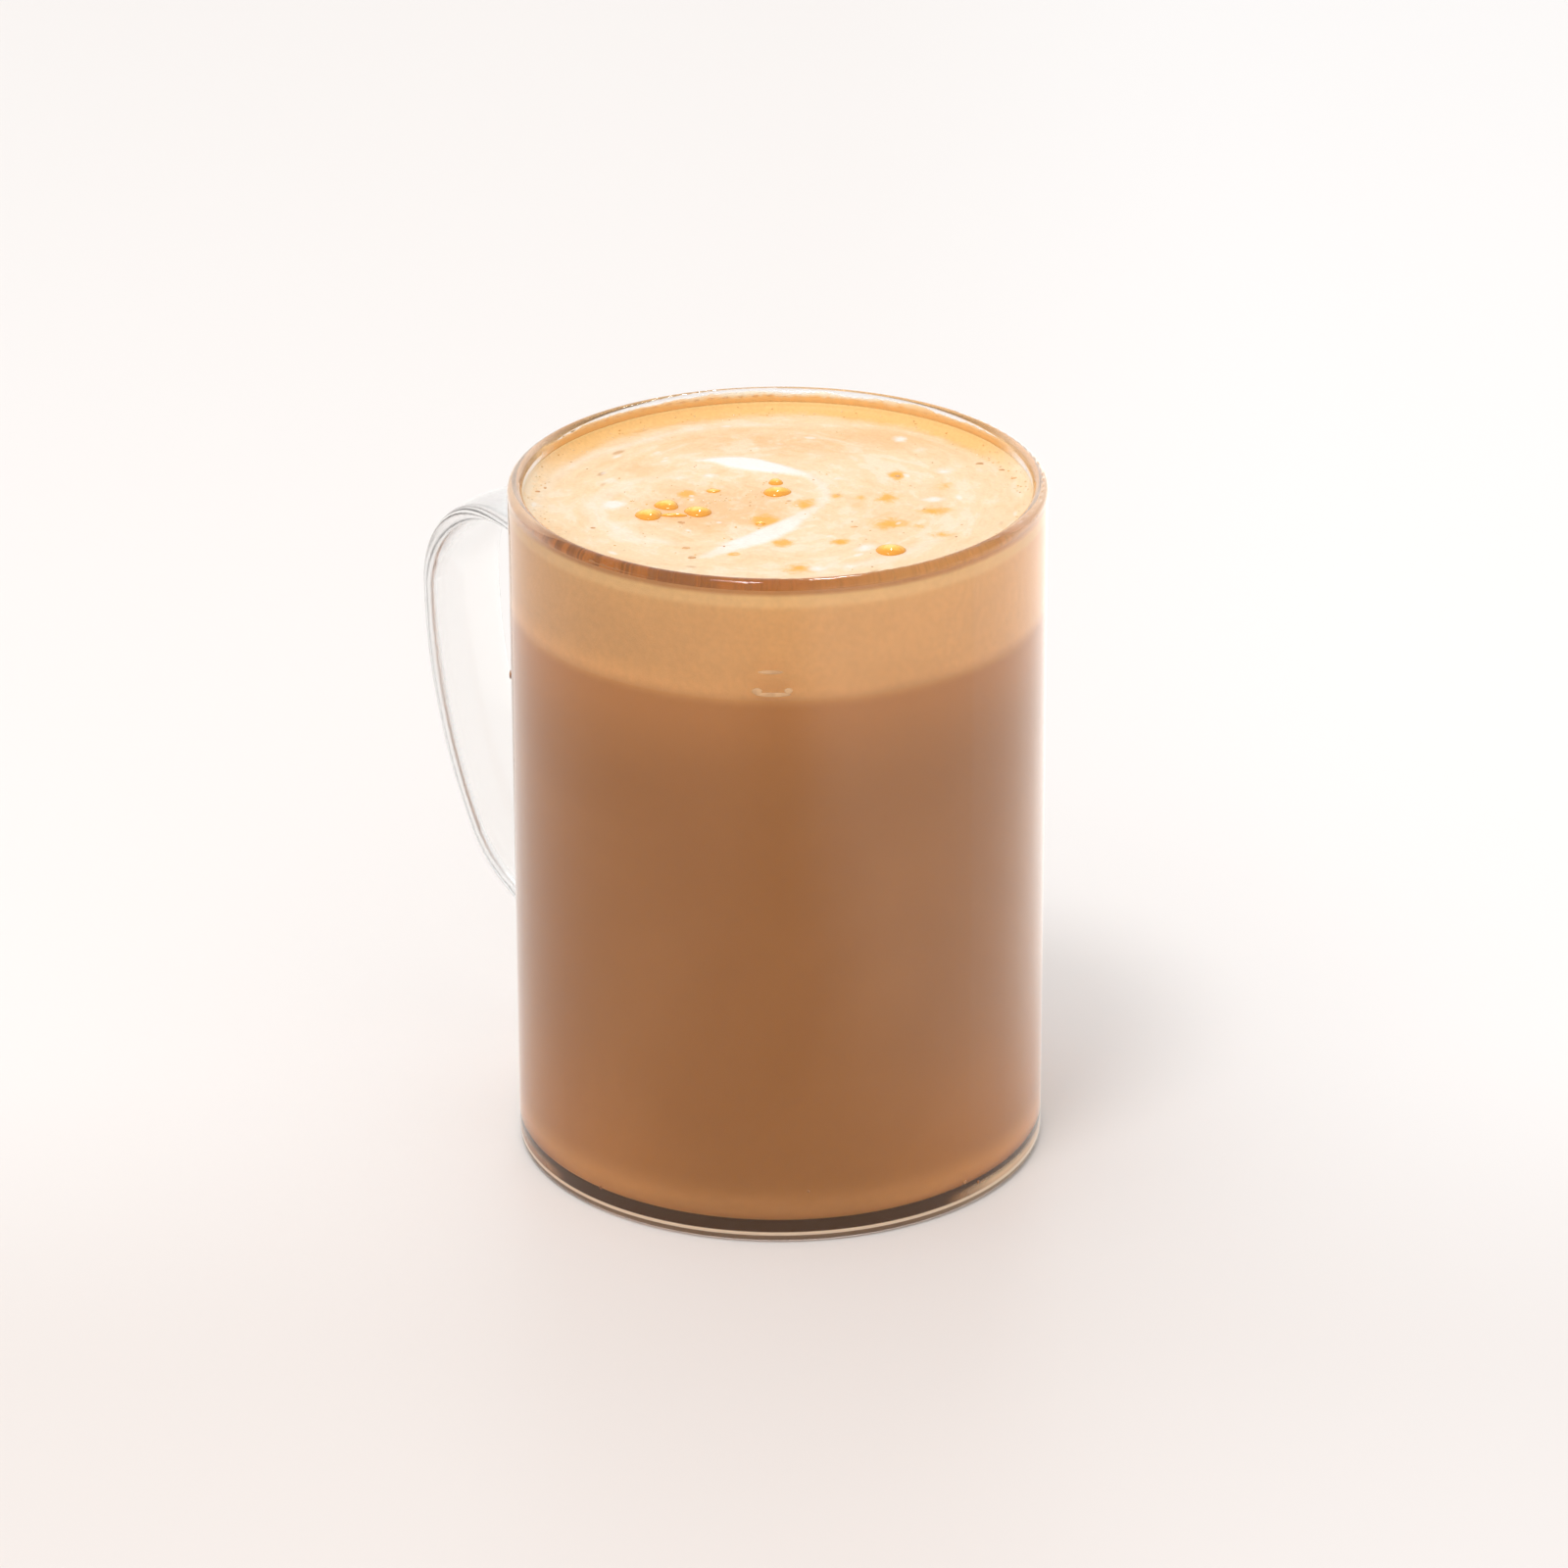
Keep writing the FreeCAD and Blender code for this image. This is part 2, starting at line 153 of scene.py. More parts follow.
class Graph(Tree):
    """The node tree of a material or a world."""

    def __init__(self, name: str, world: bool = False) -> None:
        """Starts an empty tree.

        Args:
            name: The material's or the world's name.
            world: Whether it is a world.
        """
        self.owner = bpy.data.worlds.new(name) if world else bpy.data.materials.new(name)
        self.owner.use_nodes = True
        super().__init__(self.owner.node_tree)

    def add(self, kind: str, settings: dict | None = None, **inputs: object) -> bpy.types.Node:
        """Adds a shader node.

        Args:
            kind: The node's type name, without its "ShaderNode" start.
            settings: The node's own properties.
            **inputs: Values or sockets by input name, with _ for a space.

        Returns:
            The new node.
        """
        named = {key.replace("_", " "): value for key, value in inputs.items()}
        return self.node("ShaderNode" + kind, settings, named)

    def math(self, operation: str, *values: object) -> Socket:
        """Adds a Math node and returns its value."""
        return self.node("ShaderNodeMath", {"operation": operation}, dict(enumerate(values))).outputs[0]

    def times(self, first: object, *others: object) -> Socket:
        """Multiplies numbers and returns the product."""
        for other in others:
            first = self.math("MULTIPLY", first, other)
        return first

    def vector(self, operation: str, *values: object) -> bpy.types.Node:
        """Adds a Vector Math node and returns it."""
        return self.node("ShaderNodeVectorMath", {"operation": operation}, dict(enumerate(values)))

    def scaled(self, colour: Socket, factor: Socket) -> Socket:
        """Multiplies a colour by a number and returns it."""
        settings = {"operation": "SCALE"}
        return self.node("ShaderNodeVectorMath", settings, {0: colour, "Scale": factor}).outputs[0]

    def step(
        self, value: Socket, low: object, high: object, floor: object = 0.0, top: object = 1.0
    ) -> Socket:
        """Eases from floor to top while value goes from low to high, which may also be downwards."""
        inputs = dict(enumerate((value, low, high, floor, top)))
        return self.node("ShaderNodeMapRange", {"interpolation_type": "SMOOTHSTEP"}, inputs).outputs[0]

    def choose(self, choice: Socket, off: object, on: object) -> Socket:
        """Gives the number off where choice is 0 and on where it is 1."""
        return self.add("MapRange", Value=choice, To_Min=off, To_Max=on).outputs[0]

    def mix(self, factor: object, first: object, second: object, blend: str = "MIX") -> Socket:
        """Mixes two colours by factor and returns the colour."""
        settings = {"data_type": "RGBA", "blend_type": blend}
        return self.node("ShaderNodeMix", settings, {"Factor": factor, 6: first, 7: second}).outputs[2]

    def noise(self, vector: Socket, kind: Noise) -> Socket:
        """Adds a noise.

        Args:
            vector: The place or coordinates that it varies with.
            kind: Its settings.

        Returns:
            Its value, eased where it has a low and a high.
        """
        node = self.add(
            "TexNoise",
            Vector=vector,
            Scale=kind.scale,
            Detail=kind.detail,
            Roughness=kind.rough,
            Distortion=kind.bend,
        )
        value = node.outputs["Fac"]
        if kind.low is None:
            return value
        return self.step(value, kind.low, kind.high, kind.floor, kind.top)

    def place(self) -> Socket:
        """The point on the object, in metres."""
        return self.add("TexCoord").outputs["Object"]

    def parts(self, place: Socket) -> list[Socket]:
        """Splits a place into its x, y and z."""
        return list(self.add("SeparateXYZ", Vector=place).outputs)

    def seen_from_front(self, place: Socket) -> list[Socket]:
        """Splits a place or direction into its parts across, away from the viewer, and up."""
        turned_back = self.add("Mapping", Vector=place, Rotation=(0.0, 0.0, -VIEW_TURN))
        return self.parts(turned_back.outputs[0])

    def attribute(self, name: str) -> Socket:
        """A number stored on the mesh under that name."""
        return self.add("Attribute", {"attribute_name": name}).outputs["Fac"]

    def surface(self, colour: object, roughness: object, specular: float, **more: object) -> Socket:
        """Adds a solid surface.

        Args:
            colour: Its colour.
            roughness: Its roughness.
            specular: Its specular level.
            **more: Its other inputs by name, with _ for a space.

        Returns:
            The shader.
        """
        node = self.add(
            "BsdfPrincipled", Base_Color=colour, Roughness=roughness, Specular_IOR_Level=specular, **more
        )
        return node.outputs[0]

    def mixed(self, factor: Socket, first: Socket, second: Socket) -> Socket:
        """Mixes two shaders by factor and returns the shader."""
        return self.node("ShaderNodeMixShader", None, {0: factor, 1: first, 2: second}).outputs[0]

    def veiled(self, shown: Socket, shader: Socket) -> bpy.types.Material:
        """Ends the tree in a shader that is clear where shown is 0, and returns the material."""
        return self.output(self.mixed(shown, self.add("BsdfTransparent").outputs[0], shader))

    def output(self, shader: Socket) -> bpy.types.Material | bpy.types.World:
        """Ends the tree in shader and returns the material or the world."""
        kind = "OutputWorld" if isinstance(self.owner, bpy.types.World) else "OutputMaterial"
        self.add(kind, Surface=shader)
        return self.owner

    def looks(self) -> tuple[Socket, Socket]:
        """Tells the viewer's own rays from those that carry light between surfaces.

        Returns:
            1 for a ray that the viewer sees, straight or in the glass, and 1 for one that left a matt
            surface through the glass, which the lamps have reached already.
        """
        light = self.add("LightPath").outputs
        bounced = self.math("GREATER_THAN", light["Diffuse Depth"], 0.5)
        plain = self.math("MAXIMUM", light["Is Camera Ray"], light["Is Glossy Ray"])
        plain = self.math("MAXIMUM", plain, light["Is Transmission Ray"])
        seen = self.times(plain, self.math("SUBTRACT", 1.0, bounced))
        return seen, self.times(light["Is Transmission Ray"], bounced)


# ---------------------------------------------------------------- meshes


def placed(name: str, data: bpy.types.ID) -> bpy.types.Object:
    """Makes an object of a mesh, a lamp or a camera, links it into the scene and returns it."""
    piece = bpy.data.objects.new(name, data)
    bpy.context.scene.collection.objects.link(piece)
    return piece


def new_object(
    name: str, points: np.ndarray, faces: list, material: bpy.types.Material | None = None
) -> bpy.types.Object:
    """Makes a smooth mesh object at the origin.

    Args:
        name: The object's name.
        points: The corners, one row of x, y and z each, in metres.
        faces: The faces, as lists of corner numbers.
        material: What covers it, if anything.

    Returns:
        The new object, linked into the scene.
    """
    mesh = bpy.data.meshes.new(name)
    mesh.from_pydata(points.tolist(), [], faces)
    mesh.polygons.foreach_set("use_smooth", [True] * len(mesh.polygons))
    if material is not None:
        mesh.materials.append(material)
    mesh.update()
    return placed(name, mesh)


def turns_round(around: int) -> np.ndarray:
    """The turns of that many corners, evenly round a circle."""
    return np.arange(around) * (2 * math.pi / around)


def circle(radius: float, height: float, around: int) -> np.ndarray:
    """The corners of a level circle about the Z axis."""
    turns = turns_round(around)
    return np.stack([radius * np.cos(turns), radius * np.sin(turns), np.full(around, height)], 1)


def pole(height: float) -> np.ndarray:
    """One corner on the Z axis, at that height."""
    return np.array([[0.0, 0.0, height]])


def arc(centre: Point, radius: float, start: float, end: float, steps: int) -> list[Point]:
    """Follows an arc in an outline.

    Args:
        centre: The radius and height of its middle.
        radius: Its own radius.
        start: Where it starts, in half turns up from straight outwards.
        end: Where it ends, in the same way.
        steps: How many stretches it has.

    Returns:
        The radius and height of each point.
    """
    turns = [math.pi * (start + (end - start) * k / steps) for k in range(steps + 1)]
    return [(centre[0] + radius * math.cos(turn), centre[1] + radius * math.sin(turn)) for turn in turns]


def band_faces(low: int, high: int, around: int) -> list:
    """The faces between two circles.

    Args:
        low: The first corner of the one.
        high: The first corner of the other.
        around: How many corners each circle has.

    Returns:
        The faces.
    """
    faces = []
    for k in range(around):
        following = (k + 1) % around
        faces.append([low + k, low + following, high + following, high + k])
    return faces


def lathe_faces(rings: int, around: int) -> list:
    """The faces of a closed turned mesh: a pole, then circles of corners, then a pole.

    Args:
        rings: How many circles lie between the two poles.
        around: How many corners each circle has.

    Returns:
        The faces, facing out when the circles go upwards and then inwards.
    """
    last = 1 + rings * around
    top = last - around
    faces = [[0, 1 + (k + 1) % around, 1 + k] for k in range(around)]
    for low in range(1, top, around):
        faces += band_faces(low, low + around, around)
    return faces + [[top + k, top + (k + 1) % around, last] for k in range(around)]


def turned(name: str, outline: list[Point], around: int, material: bpy.types.Material) -> bpy.types.Object:
    """Turns an outline round the Z axis into a closed piece.

    Args:
        name: The object's name.
        outline: Radius and height of each circle, from the bottom; the first and last are on the axis.
        around: How many corners each circle has.
        material: What covers it.

    Returns:
        The new object.
    """
    circles = [circle(radius, height, around) for radius, height in outline[1:-1]]
    points = np.concatenate([pole(outline[0][1]), *circles, pole(outline[-1][1])])
    return new_object(name, points, lathe_faces(len(circles), around), material)


def ring(name: str, outline: list[Point], around: int, material: bpy.types.Material) -> bpy.types.Object:
    """Turns a closed outline round the Z axis into a ring.

    Args:
        name: The object's name.
        outline: Radius and height of each corner, in metres; the last joins the first.
        around: How many corners each circle has.
        material: What covers it.

    Returns:
        The new object.
    """
    points = np.concatenate([circle(radius, height, around) for radius, height in outline])
    faces = []
    for row in range(len(outline)):
        faces += band_faces(row * around, (row + 1) % len(outline) * around, around)
    return new_object(name, points, faces, material)


def report(piece: bpy.types.Object) -> None:
    """Logs a finished piece and its number of faces."""
    LOG.info("%s: %d faces", piece.name, len(piece.data.polygons))


def hand_over(piece: bpy.types.Object, node: Node | None = None) -> None:
    """Gives a finished piece to the frame.

    Args:
        piece: The finished object.
        node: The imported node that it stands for, if any.
    """
    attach(piece, BODY)
    if node is not None:
        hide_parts(node.value)
    report(piece)


def to_part(across: np.ndarray, away: np.ndarray) -> tuple[np.ndarray, np.ndarray]:
    """Turns places given across and away from the viewer into x and y on the part, in the same unit."""
    cos, sin = math.cos(VIEW_TURN), math.sin(VIEW_TURN)
    return cos * across - sin * away, sin * across + cos * away


def to_view(x: np.ndarray, y: np.ndarray) -> tuple[np.ndarray, np.ndarray]:
    """Turns x and y on the part into distances across and away from the viewer, in the same unit."""
    cos, sin = math.cos(VIEW_TURN), math.sin(VIEW_TURN)
    return cos * x + sin * y, cos * y - sin * x


def smooth_path(stations: tuple[tuple[float, ...], ...], steps: int) -> np.ndarray:
    """Runs a smooth curve through a few stations.

    Args:
        stations: The values at each station, such as place, width and strength.
        steps: How many samples lie between two stations.

    Returns:
        The samples, one row each, with a column for each value.
    """
    known = np.array(stations, float)
    padded = np.concatenate([2 * known[:1] - known[1:2], known, 2 * known[-1:] - known[-2:-1]])
    share = (np.arange(steps) / steps)[:, None]
    parts = []
    for before, start, end, after in zip(padded, padded[1:], padded[2:], padded[3:]):
        bend = 2 * before - 5 * start + 4 * end - after
        twist = 3 * start - before - 3 * end + after
        parts.append(0.5 * (2 * start + (end - before) * share + bend * share**2 + twist * share**3))
    parts.append(known[-1:])
    return np.concatenate(parts)


def set_numbers(piece: bpy.types.Object, name: str, values: np.ndarray) -> None:
    """Stores one number for each corner of a mesh, for its material to read.

    Args:
        piece: The mesh object.
        name: The attribute's name.
        values: The numbers, in the order of the corners.
    """
    layer = piece.data.attributes.new(name, "FLOAT", "POINT")
    layer.data.foreach_set("value", values.astype(np.float32))


# ---------------------------------------------------------------- the mug's own sizes


@dataclass(frozen=True)
class MugSizes:
    """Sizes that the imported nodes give, and three that the pieces share, in metres."""

    outer_radius: float
    rim_height: float
    drink_radius: float
    floor_height: float
    foam_line: float
    foam_crest: float
    clearance: float = 0.05 * MM
    overlap: float = 0.12 * MM
    rim_round: float = 1.05 * MM

    @classmethod
    def from_frame(cls) -> "MugSizes":
        """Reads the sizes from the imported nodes."""
        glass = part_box(Node.GLASS.value)
        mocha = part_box(Node.MOCHA.value)
        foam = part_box(Node.FOAM.value)
        return cls(glass[1].y, glass[1].z, mocha[1].y, mocha[0].z, foam[0].z, foam[1].z)

    @property
    def bore(self) -> float:
        """The inner radius of the wall."""
        return self.drink_radius + self.clearance

    @property
    def fill_radius(self) -> float:
        """The radius of what fills the mug, which reaches just into the wall."""
        return self.bore + self.overlap

    @property
    def rim_middle(self) -> Point:
        """The radius and height of the middle of the rounded rim."""
        return 0.5 * (self.outer_radius + self.bore), self.rim_height - self.rim_round


# ---------------------------------------------------------------- glass


@dataclass(frozen=True)
class ClearGlass:
    """Clear polished glass that lets the lamps through to the drink, with a handle that is a little worn."""

    name: str = "clear_glass"
    tint: Colour = (0.985, 0.99, 0.985)
    refraction: float = 1.47
    polish: float = 0.0
    worn: float = 0.16
    wear: Noise = Noise(45.0, low=0.3, high=0.7, floor=0.7)
    handle_start: float = -40.4 * MM
    handle_reach: float = 3.0 * MM

    def material(self) -> bpy.types.Material:
        """Builds the material: rougher along the handle, and clear to lamps."""
        graph = Graph(self.name)
        place = graph.place()
        end = self.handle_start - self.handle_reach
        handle = graph.step(graph.parts(place)[0], self.handle_start, end, self.polish, self.worn)
        glass = graph.add(
            "BsdfPrincipled",
            Base_Color=self.tint,
            Roughness=graph.times(handle, graph.noise(place, self.wear)),
            IOR=self.refraction,
            Transmission_Weight=1.0,
        )
        clear = graph.add("BsdfTransparent", Color=self.tint)
        shadow = graph.add("LightPath").outputs["Is Shadow Ray"]
        return graph.output(graph.mixed(shadow, glass.outputs[0], clear.outputs[0]))


@dataclass
class MugGlass:
    """The glass mug with its handle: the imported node, with a glass finish."""

    finish: ClearGlass = field(default_factory=ClearGlass)

    def build(self) -> None:
        """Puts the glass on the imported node."""
        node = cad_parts[Node.GLASS.value]
        node.data.materials.clear()
        node.data.materials.append(self.finish.material())
        report(node)


@dataclass(frozen=True)
class PaintedFootLightFinish:
    """Painted light in the foot of the glass: a painted cream highlight line over a painted tan band, both the
    look of light bent through the rounded heel, with painted tones that go higher at the two sides.

    The spans across are shares of the reach.
    """

    reach: float
    line_low: float
    line_high: float
    top: float
    name: str = "painted_foot_light"
    tan: Colour = (0.26, 0.14, 0.07)
    sand: Colour = (0.42, 0.28, 0.16)
    cream: Colour = (0.95, 0.76, 0.58)
    left_tone: Colour = (0.42, 0.19, 0.07)
    right_tone: Colour = (0.80, 0.55, 0.33)
    clouds: Noise = Noise(22.0, 2.0, low=0.3, high=0.75, top=0.35)
    soft: float = 0.08 * MM
    fade: float = 0.5 * MM
    sand_part: Span = (0.4, 0.9)
    right_part: Span = (0.6, 0.82)
    left_part: Span = (-0.8, -0.95)
    roughness: float = 0.4
    specular: float = 0.2

    def material(self) -> bpy.types.Material:
        """Builds the material: painted bands of light by height on the viewer's side, and one soft painted
        tone at each side.
        """
        graph = Graph(self.name)
        place = graph.place()
        across, _, height = graph.seen_from_front(place)
        share = graph.math("DIVIDE", across, self.reach)
        # Painted tan band: the look of light bent through the heel, paler towards the sides.
        tan = graph.mix(graph.step(share, *self.sand_part), self.tan, self.sand)
        tan = graph.mix(graph.noise(place, self.clouds), tan, self.sand)
        # Painted cream highlight line, where the heel shows the bright table.
        line = graph.step(height, self.line_low - self.soft, self.line_low + self.soft)
        colour = graph.mix(line, tan, self.cream)
        # Above the line, painted tones show at the two sides only.
        upper = graph.step(height, self.line_high - self.soft, self.line_high + self.soft)
        right = graph.step(share, *self.right_part)
        left = graph.step(share, *self.left_part)
        colour = graph.mix(upper, colour, graph.mix(right, self.left_tone, self.right_tone))
        fade = graph.step(height, self.top, self.line_high + self.fade)
        sides = graph.times(graph.math("MAXIMUM", right, left), fade)
        shown = graph.math("MAXIMUM", sides, graph.math("SUBTRACT", 1.0, upper))
        return graph.veiled(shown, graph.surface(colour, self.roughness, self.specular))


@dataclass
class PaintedFootLight:
    """The band of painted light low in the wall, which follows the rounded heel just under the surface."""

    sizes: MugSizes
    heel: float = 0.9 * MM
    heel_start: float = -0.375
    depth: float = 0.03 * MM
    thickness: float = 0.02 * MM
    line_low: float = 1.12 * MM
    line_high: float = 1.66 * MM
    top: float = 3.4 * MM
    heel_steps: int = 8
    around: int = 256

    def build(self) -> None:
        """Makes the band and hands it over."""
        radius = self.sizes.outer_radius - self.depth
        centre = (self.sizes.outer_radius - self.heel, self.heel)
        outer = arc(centre, self.heel - self.depth, self.heel_start, 0.0, self.heel_steps)
        outer += [(radius, self.line_high), (radius, self.top)]
        inner = [(r - self.thickness, z) for r, z in reversed(outer)]
        finish = PaintedFootLightFinish(radius, self.line_low, self.line_high, self.top)
        hand_over(ring("painted_foot_light_band", outer + inner, self.around, finish.material()))


# ---------------------------------------------------------------- mocha


@dataclass(frozen=True)
class FoamLine:
    """The soft change from mocha to foam against the glass, which both of them show."""

    sizes: MugSizes
    milky: Colour = (0.5808, 0.242, 0.0621)
    foam: Colour = (0.88, 0.455, 0.15)
    below: float = 1.5 * MM
    above: float = 1.7 * MM
    waver: Noise = Noise(55.0, 4.0, 0.6)
    waver_height: float = 1.2 * MM

    def level(self, graph: Graph, place: Socket) -> Socket:
        """Measures from the foam line, which wavers a little.

        Args:
            graph: The material's tree.
            place: The point on the piece.

        Returns:
            The height above the line.
        """
        above = graph.math("SUBTRACT", graph.parts(place)[2], self.sizes.foam_line)
        slow = graph.noise(place, self.waver)
        waver = graph.math("MULTIPLY_ADD", slow, self.waver_height, -0.5 * self.waver_height)
        return graph.math("ADD", above, waver)

    def share(self, graph: Graph, level: Socket) -> Socket:
        """How far the change has gone from mocha to foam at that level."""
        return graph.step(level, -self.below, self.above)


@dataclass(frozen=True)
class MochaFinish:
    """Milky chocolate coffee against glass: brown and paler near the foam, with painted light at the bottom
    corner and low down at the sides, and painted shade under it.

    The painted glow and under spans are heights over the floor of the mug, the painted flank light span is a
    height over the table, and the painted flank light part is a share of the bore across.
    """

    sizes: MugSizes
    name: str = "mocha_drink"
    brown: Colour = (0.4514, 0.1808, 0.0409)
    cloudy: Colour = (0.4906, 0.2034, 0.0509)
    painted_glow: Colour = (0.76, 0.345, 0.108)
    under: Colour = (0.1452, 0.0524, 0.0151)
    painted_underside_glow: Colour = (0.045, 0.018, 0.004)
    clouds: Noise = Noise(24.0, 5.0, 0.6, 0.6, low=0.35, high=0.72)
    grain: Noise = Noise(900.0, 2.0, 0.6, low=0.3, high=0.7, floor=0.985, top=1.015)
    milky_reach: float = 22.0 * MM
    milky_power: float = 2.0
    painted_glow_span: Span = (8.0 * MM, 0.5 * MM)
    painted_glow_power: float = 1.5
    under_span: Span = (0.1 * MM, -0.3 * MM)
    painted_flank_light_part: Span = (0.2, 0.8)
    painted_flank_light_span: Span = (34.0 * MM, 6.0 * MM)
    painted_flank_light_gain: float = 0.22
    roughness: float = 0.5
    specular: float = 0.0

    def material(self) -> bpy.types.Material:
        """Builds the material: a brown with slow clouds, painted lighter low down, with a painted dark
        underside that has a faint painted glow.
        """
        graph = Graph(self.name)
        place = graph.place()
        across, _, height = graph.seen_from_front(place)
        body = graph.mix(graph.noise(place, self.clouds), self.brown, self.cloudy)
        edge = FoamLine(self.sizes)
        level = edge.level(graph, place)
        rising = graph.math("POWER", graph.step(level, -self.milky_reach, 0.0), self.milky_power)
        body = graph.mix(rising, body, edge.milky)
        body = graph.mix(edge.share(graph, level), body, edge.foam)
        over_floor = graph.math("SUBTRACT", height, self.sizes.floor_height)
        # Painted light: paler just above the floor of the mug.
        lifted = graph.math("POWER", graph.step(over_floor, *self.painted_glow_span), self.painted_glow_power)
        body = graph.mix(lifted, body, self.painted_glow)
        # Painted shade on the underside, whose mask also drives its faint painted glow.
        under = graph.step(over_floor, *self.under_span)
        body = graph.mix(under, body, self.under)
        # Painted light: lighter low down towards the two sides.
        beside = graph.math("DIVIDE", graph.math("ABSOLUTE", across), self.sizes.bore)
        low = graph.times(graph.step(beside, *self.painted_flank_light_part), graph.step(height, *self.painted_flank_light_span))
        bright = graph.math("MULTIPLY_ADD", low, self.painted_flank_light_gain, 1.0)
        body = graph.scaled(body, graph.times(graph.noise(place, self.grain), bright))
        painted_glow = {"Emission_Color": self.painted_underside_glow, "Emission_Strength": under}
        return graph.output(graph.surface(body, self.roughness, self.specular, **painted_glow))


@dataclass
class MochaFill:
    """The drink below the foam: it fills the mug and reaches just into the wall."""

    sizes: MugSizes
    corner: float = 4.2 * MM
    sink: float = 0.6 * MM
    firm: float = 0.02 * MM
    corner_rings: int = 12
    around: int = 256

    def outline(self) -> list[Point]:
        """The turned outline, from the middle of the floor to the middle of the foam line."""
        radius, line = self.sizes.fill_radius, self.sizes.foam_line
        low = self.sizes.floor_height - self.sink
        points = [(0.0, low), (0.5 * radius, low)]
        points += arc((radius - self.corner, low + self.corner), self.corner, -0.5, 0.0, self.corner_rings)
        points += [(radius, line - self.firm), (radius, line), (radius - self.firm, line)]
        return points + [(0.5 * radius, line), (0.0, line)]

    def build(self) -> None:
        """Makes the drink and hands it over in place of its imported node."""
        piece = turned("mocha_fill", self.outline(), self.around, MochaFinish(self.sizes).material())
        hand_over(piece, Node.MOCHA)


# ---------------------------------------------------------------- foam


@dataclass(frozen=True)
class Stroke:
    """A drawn line of milk on the foam.

    Each station gives the place across and away, the width (all in millimetres) and the strength.
    """

    stations: tuple[tuple[float, float, float, float], ...]
    steps: int = 12
    outside: float = -9.0

    def reach(self, across: np.ndarray, away: np.ndarray) -> tuple[np.ndarray, np.ndarray]:
        """Measures how far inside the line each point lies.

        Args:
            across: The points' places across, in millimetres.
            away: The points' places away, in millimetres.

        Returns:
            The depth inside the line's edge in millimetres, below zero outside it, and the strength there.
        """
        depth = np.full(across.shape, self.outside)
        strength = np.zeros(across.shape)
        for u, v, width, power in smooth_path(self.stations, self.steps):
            inside = 0.5 * max(width, 0.0) - np.hypot(across - u, away - v)
            better = inside > depth
            depth = np.where(better, inside, depth)
            strength = np.where(better, power, strength)
        return depth, strength


@dataclass(frozen=True)
class Spot:
    """A soft round or oval mark on the foam, in millimetres across and away."""

    across: float
    away: float
    width: float
    depth: float
    strength: float = 1.0

    def cover(self, across: np.ndarray, away: np.ndarray) -> np.ndarray:
        """How strongly the mark covers each point, from 0 at its edge and outside."""
        share = np.hypot((across - self.across) * 2 / self.width, (away - self.away) * 2 / self.depth)
        return self.strength * np.clip(1.0 - share, 0.0, 1.0)


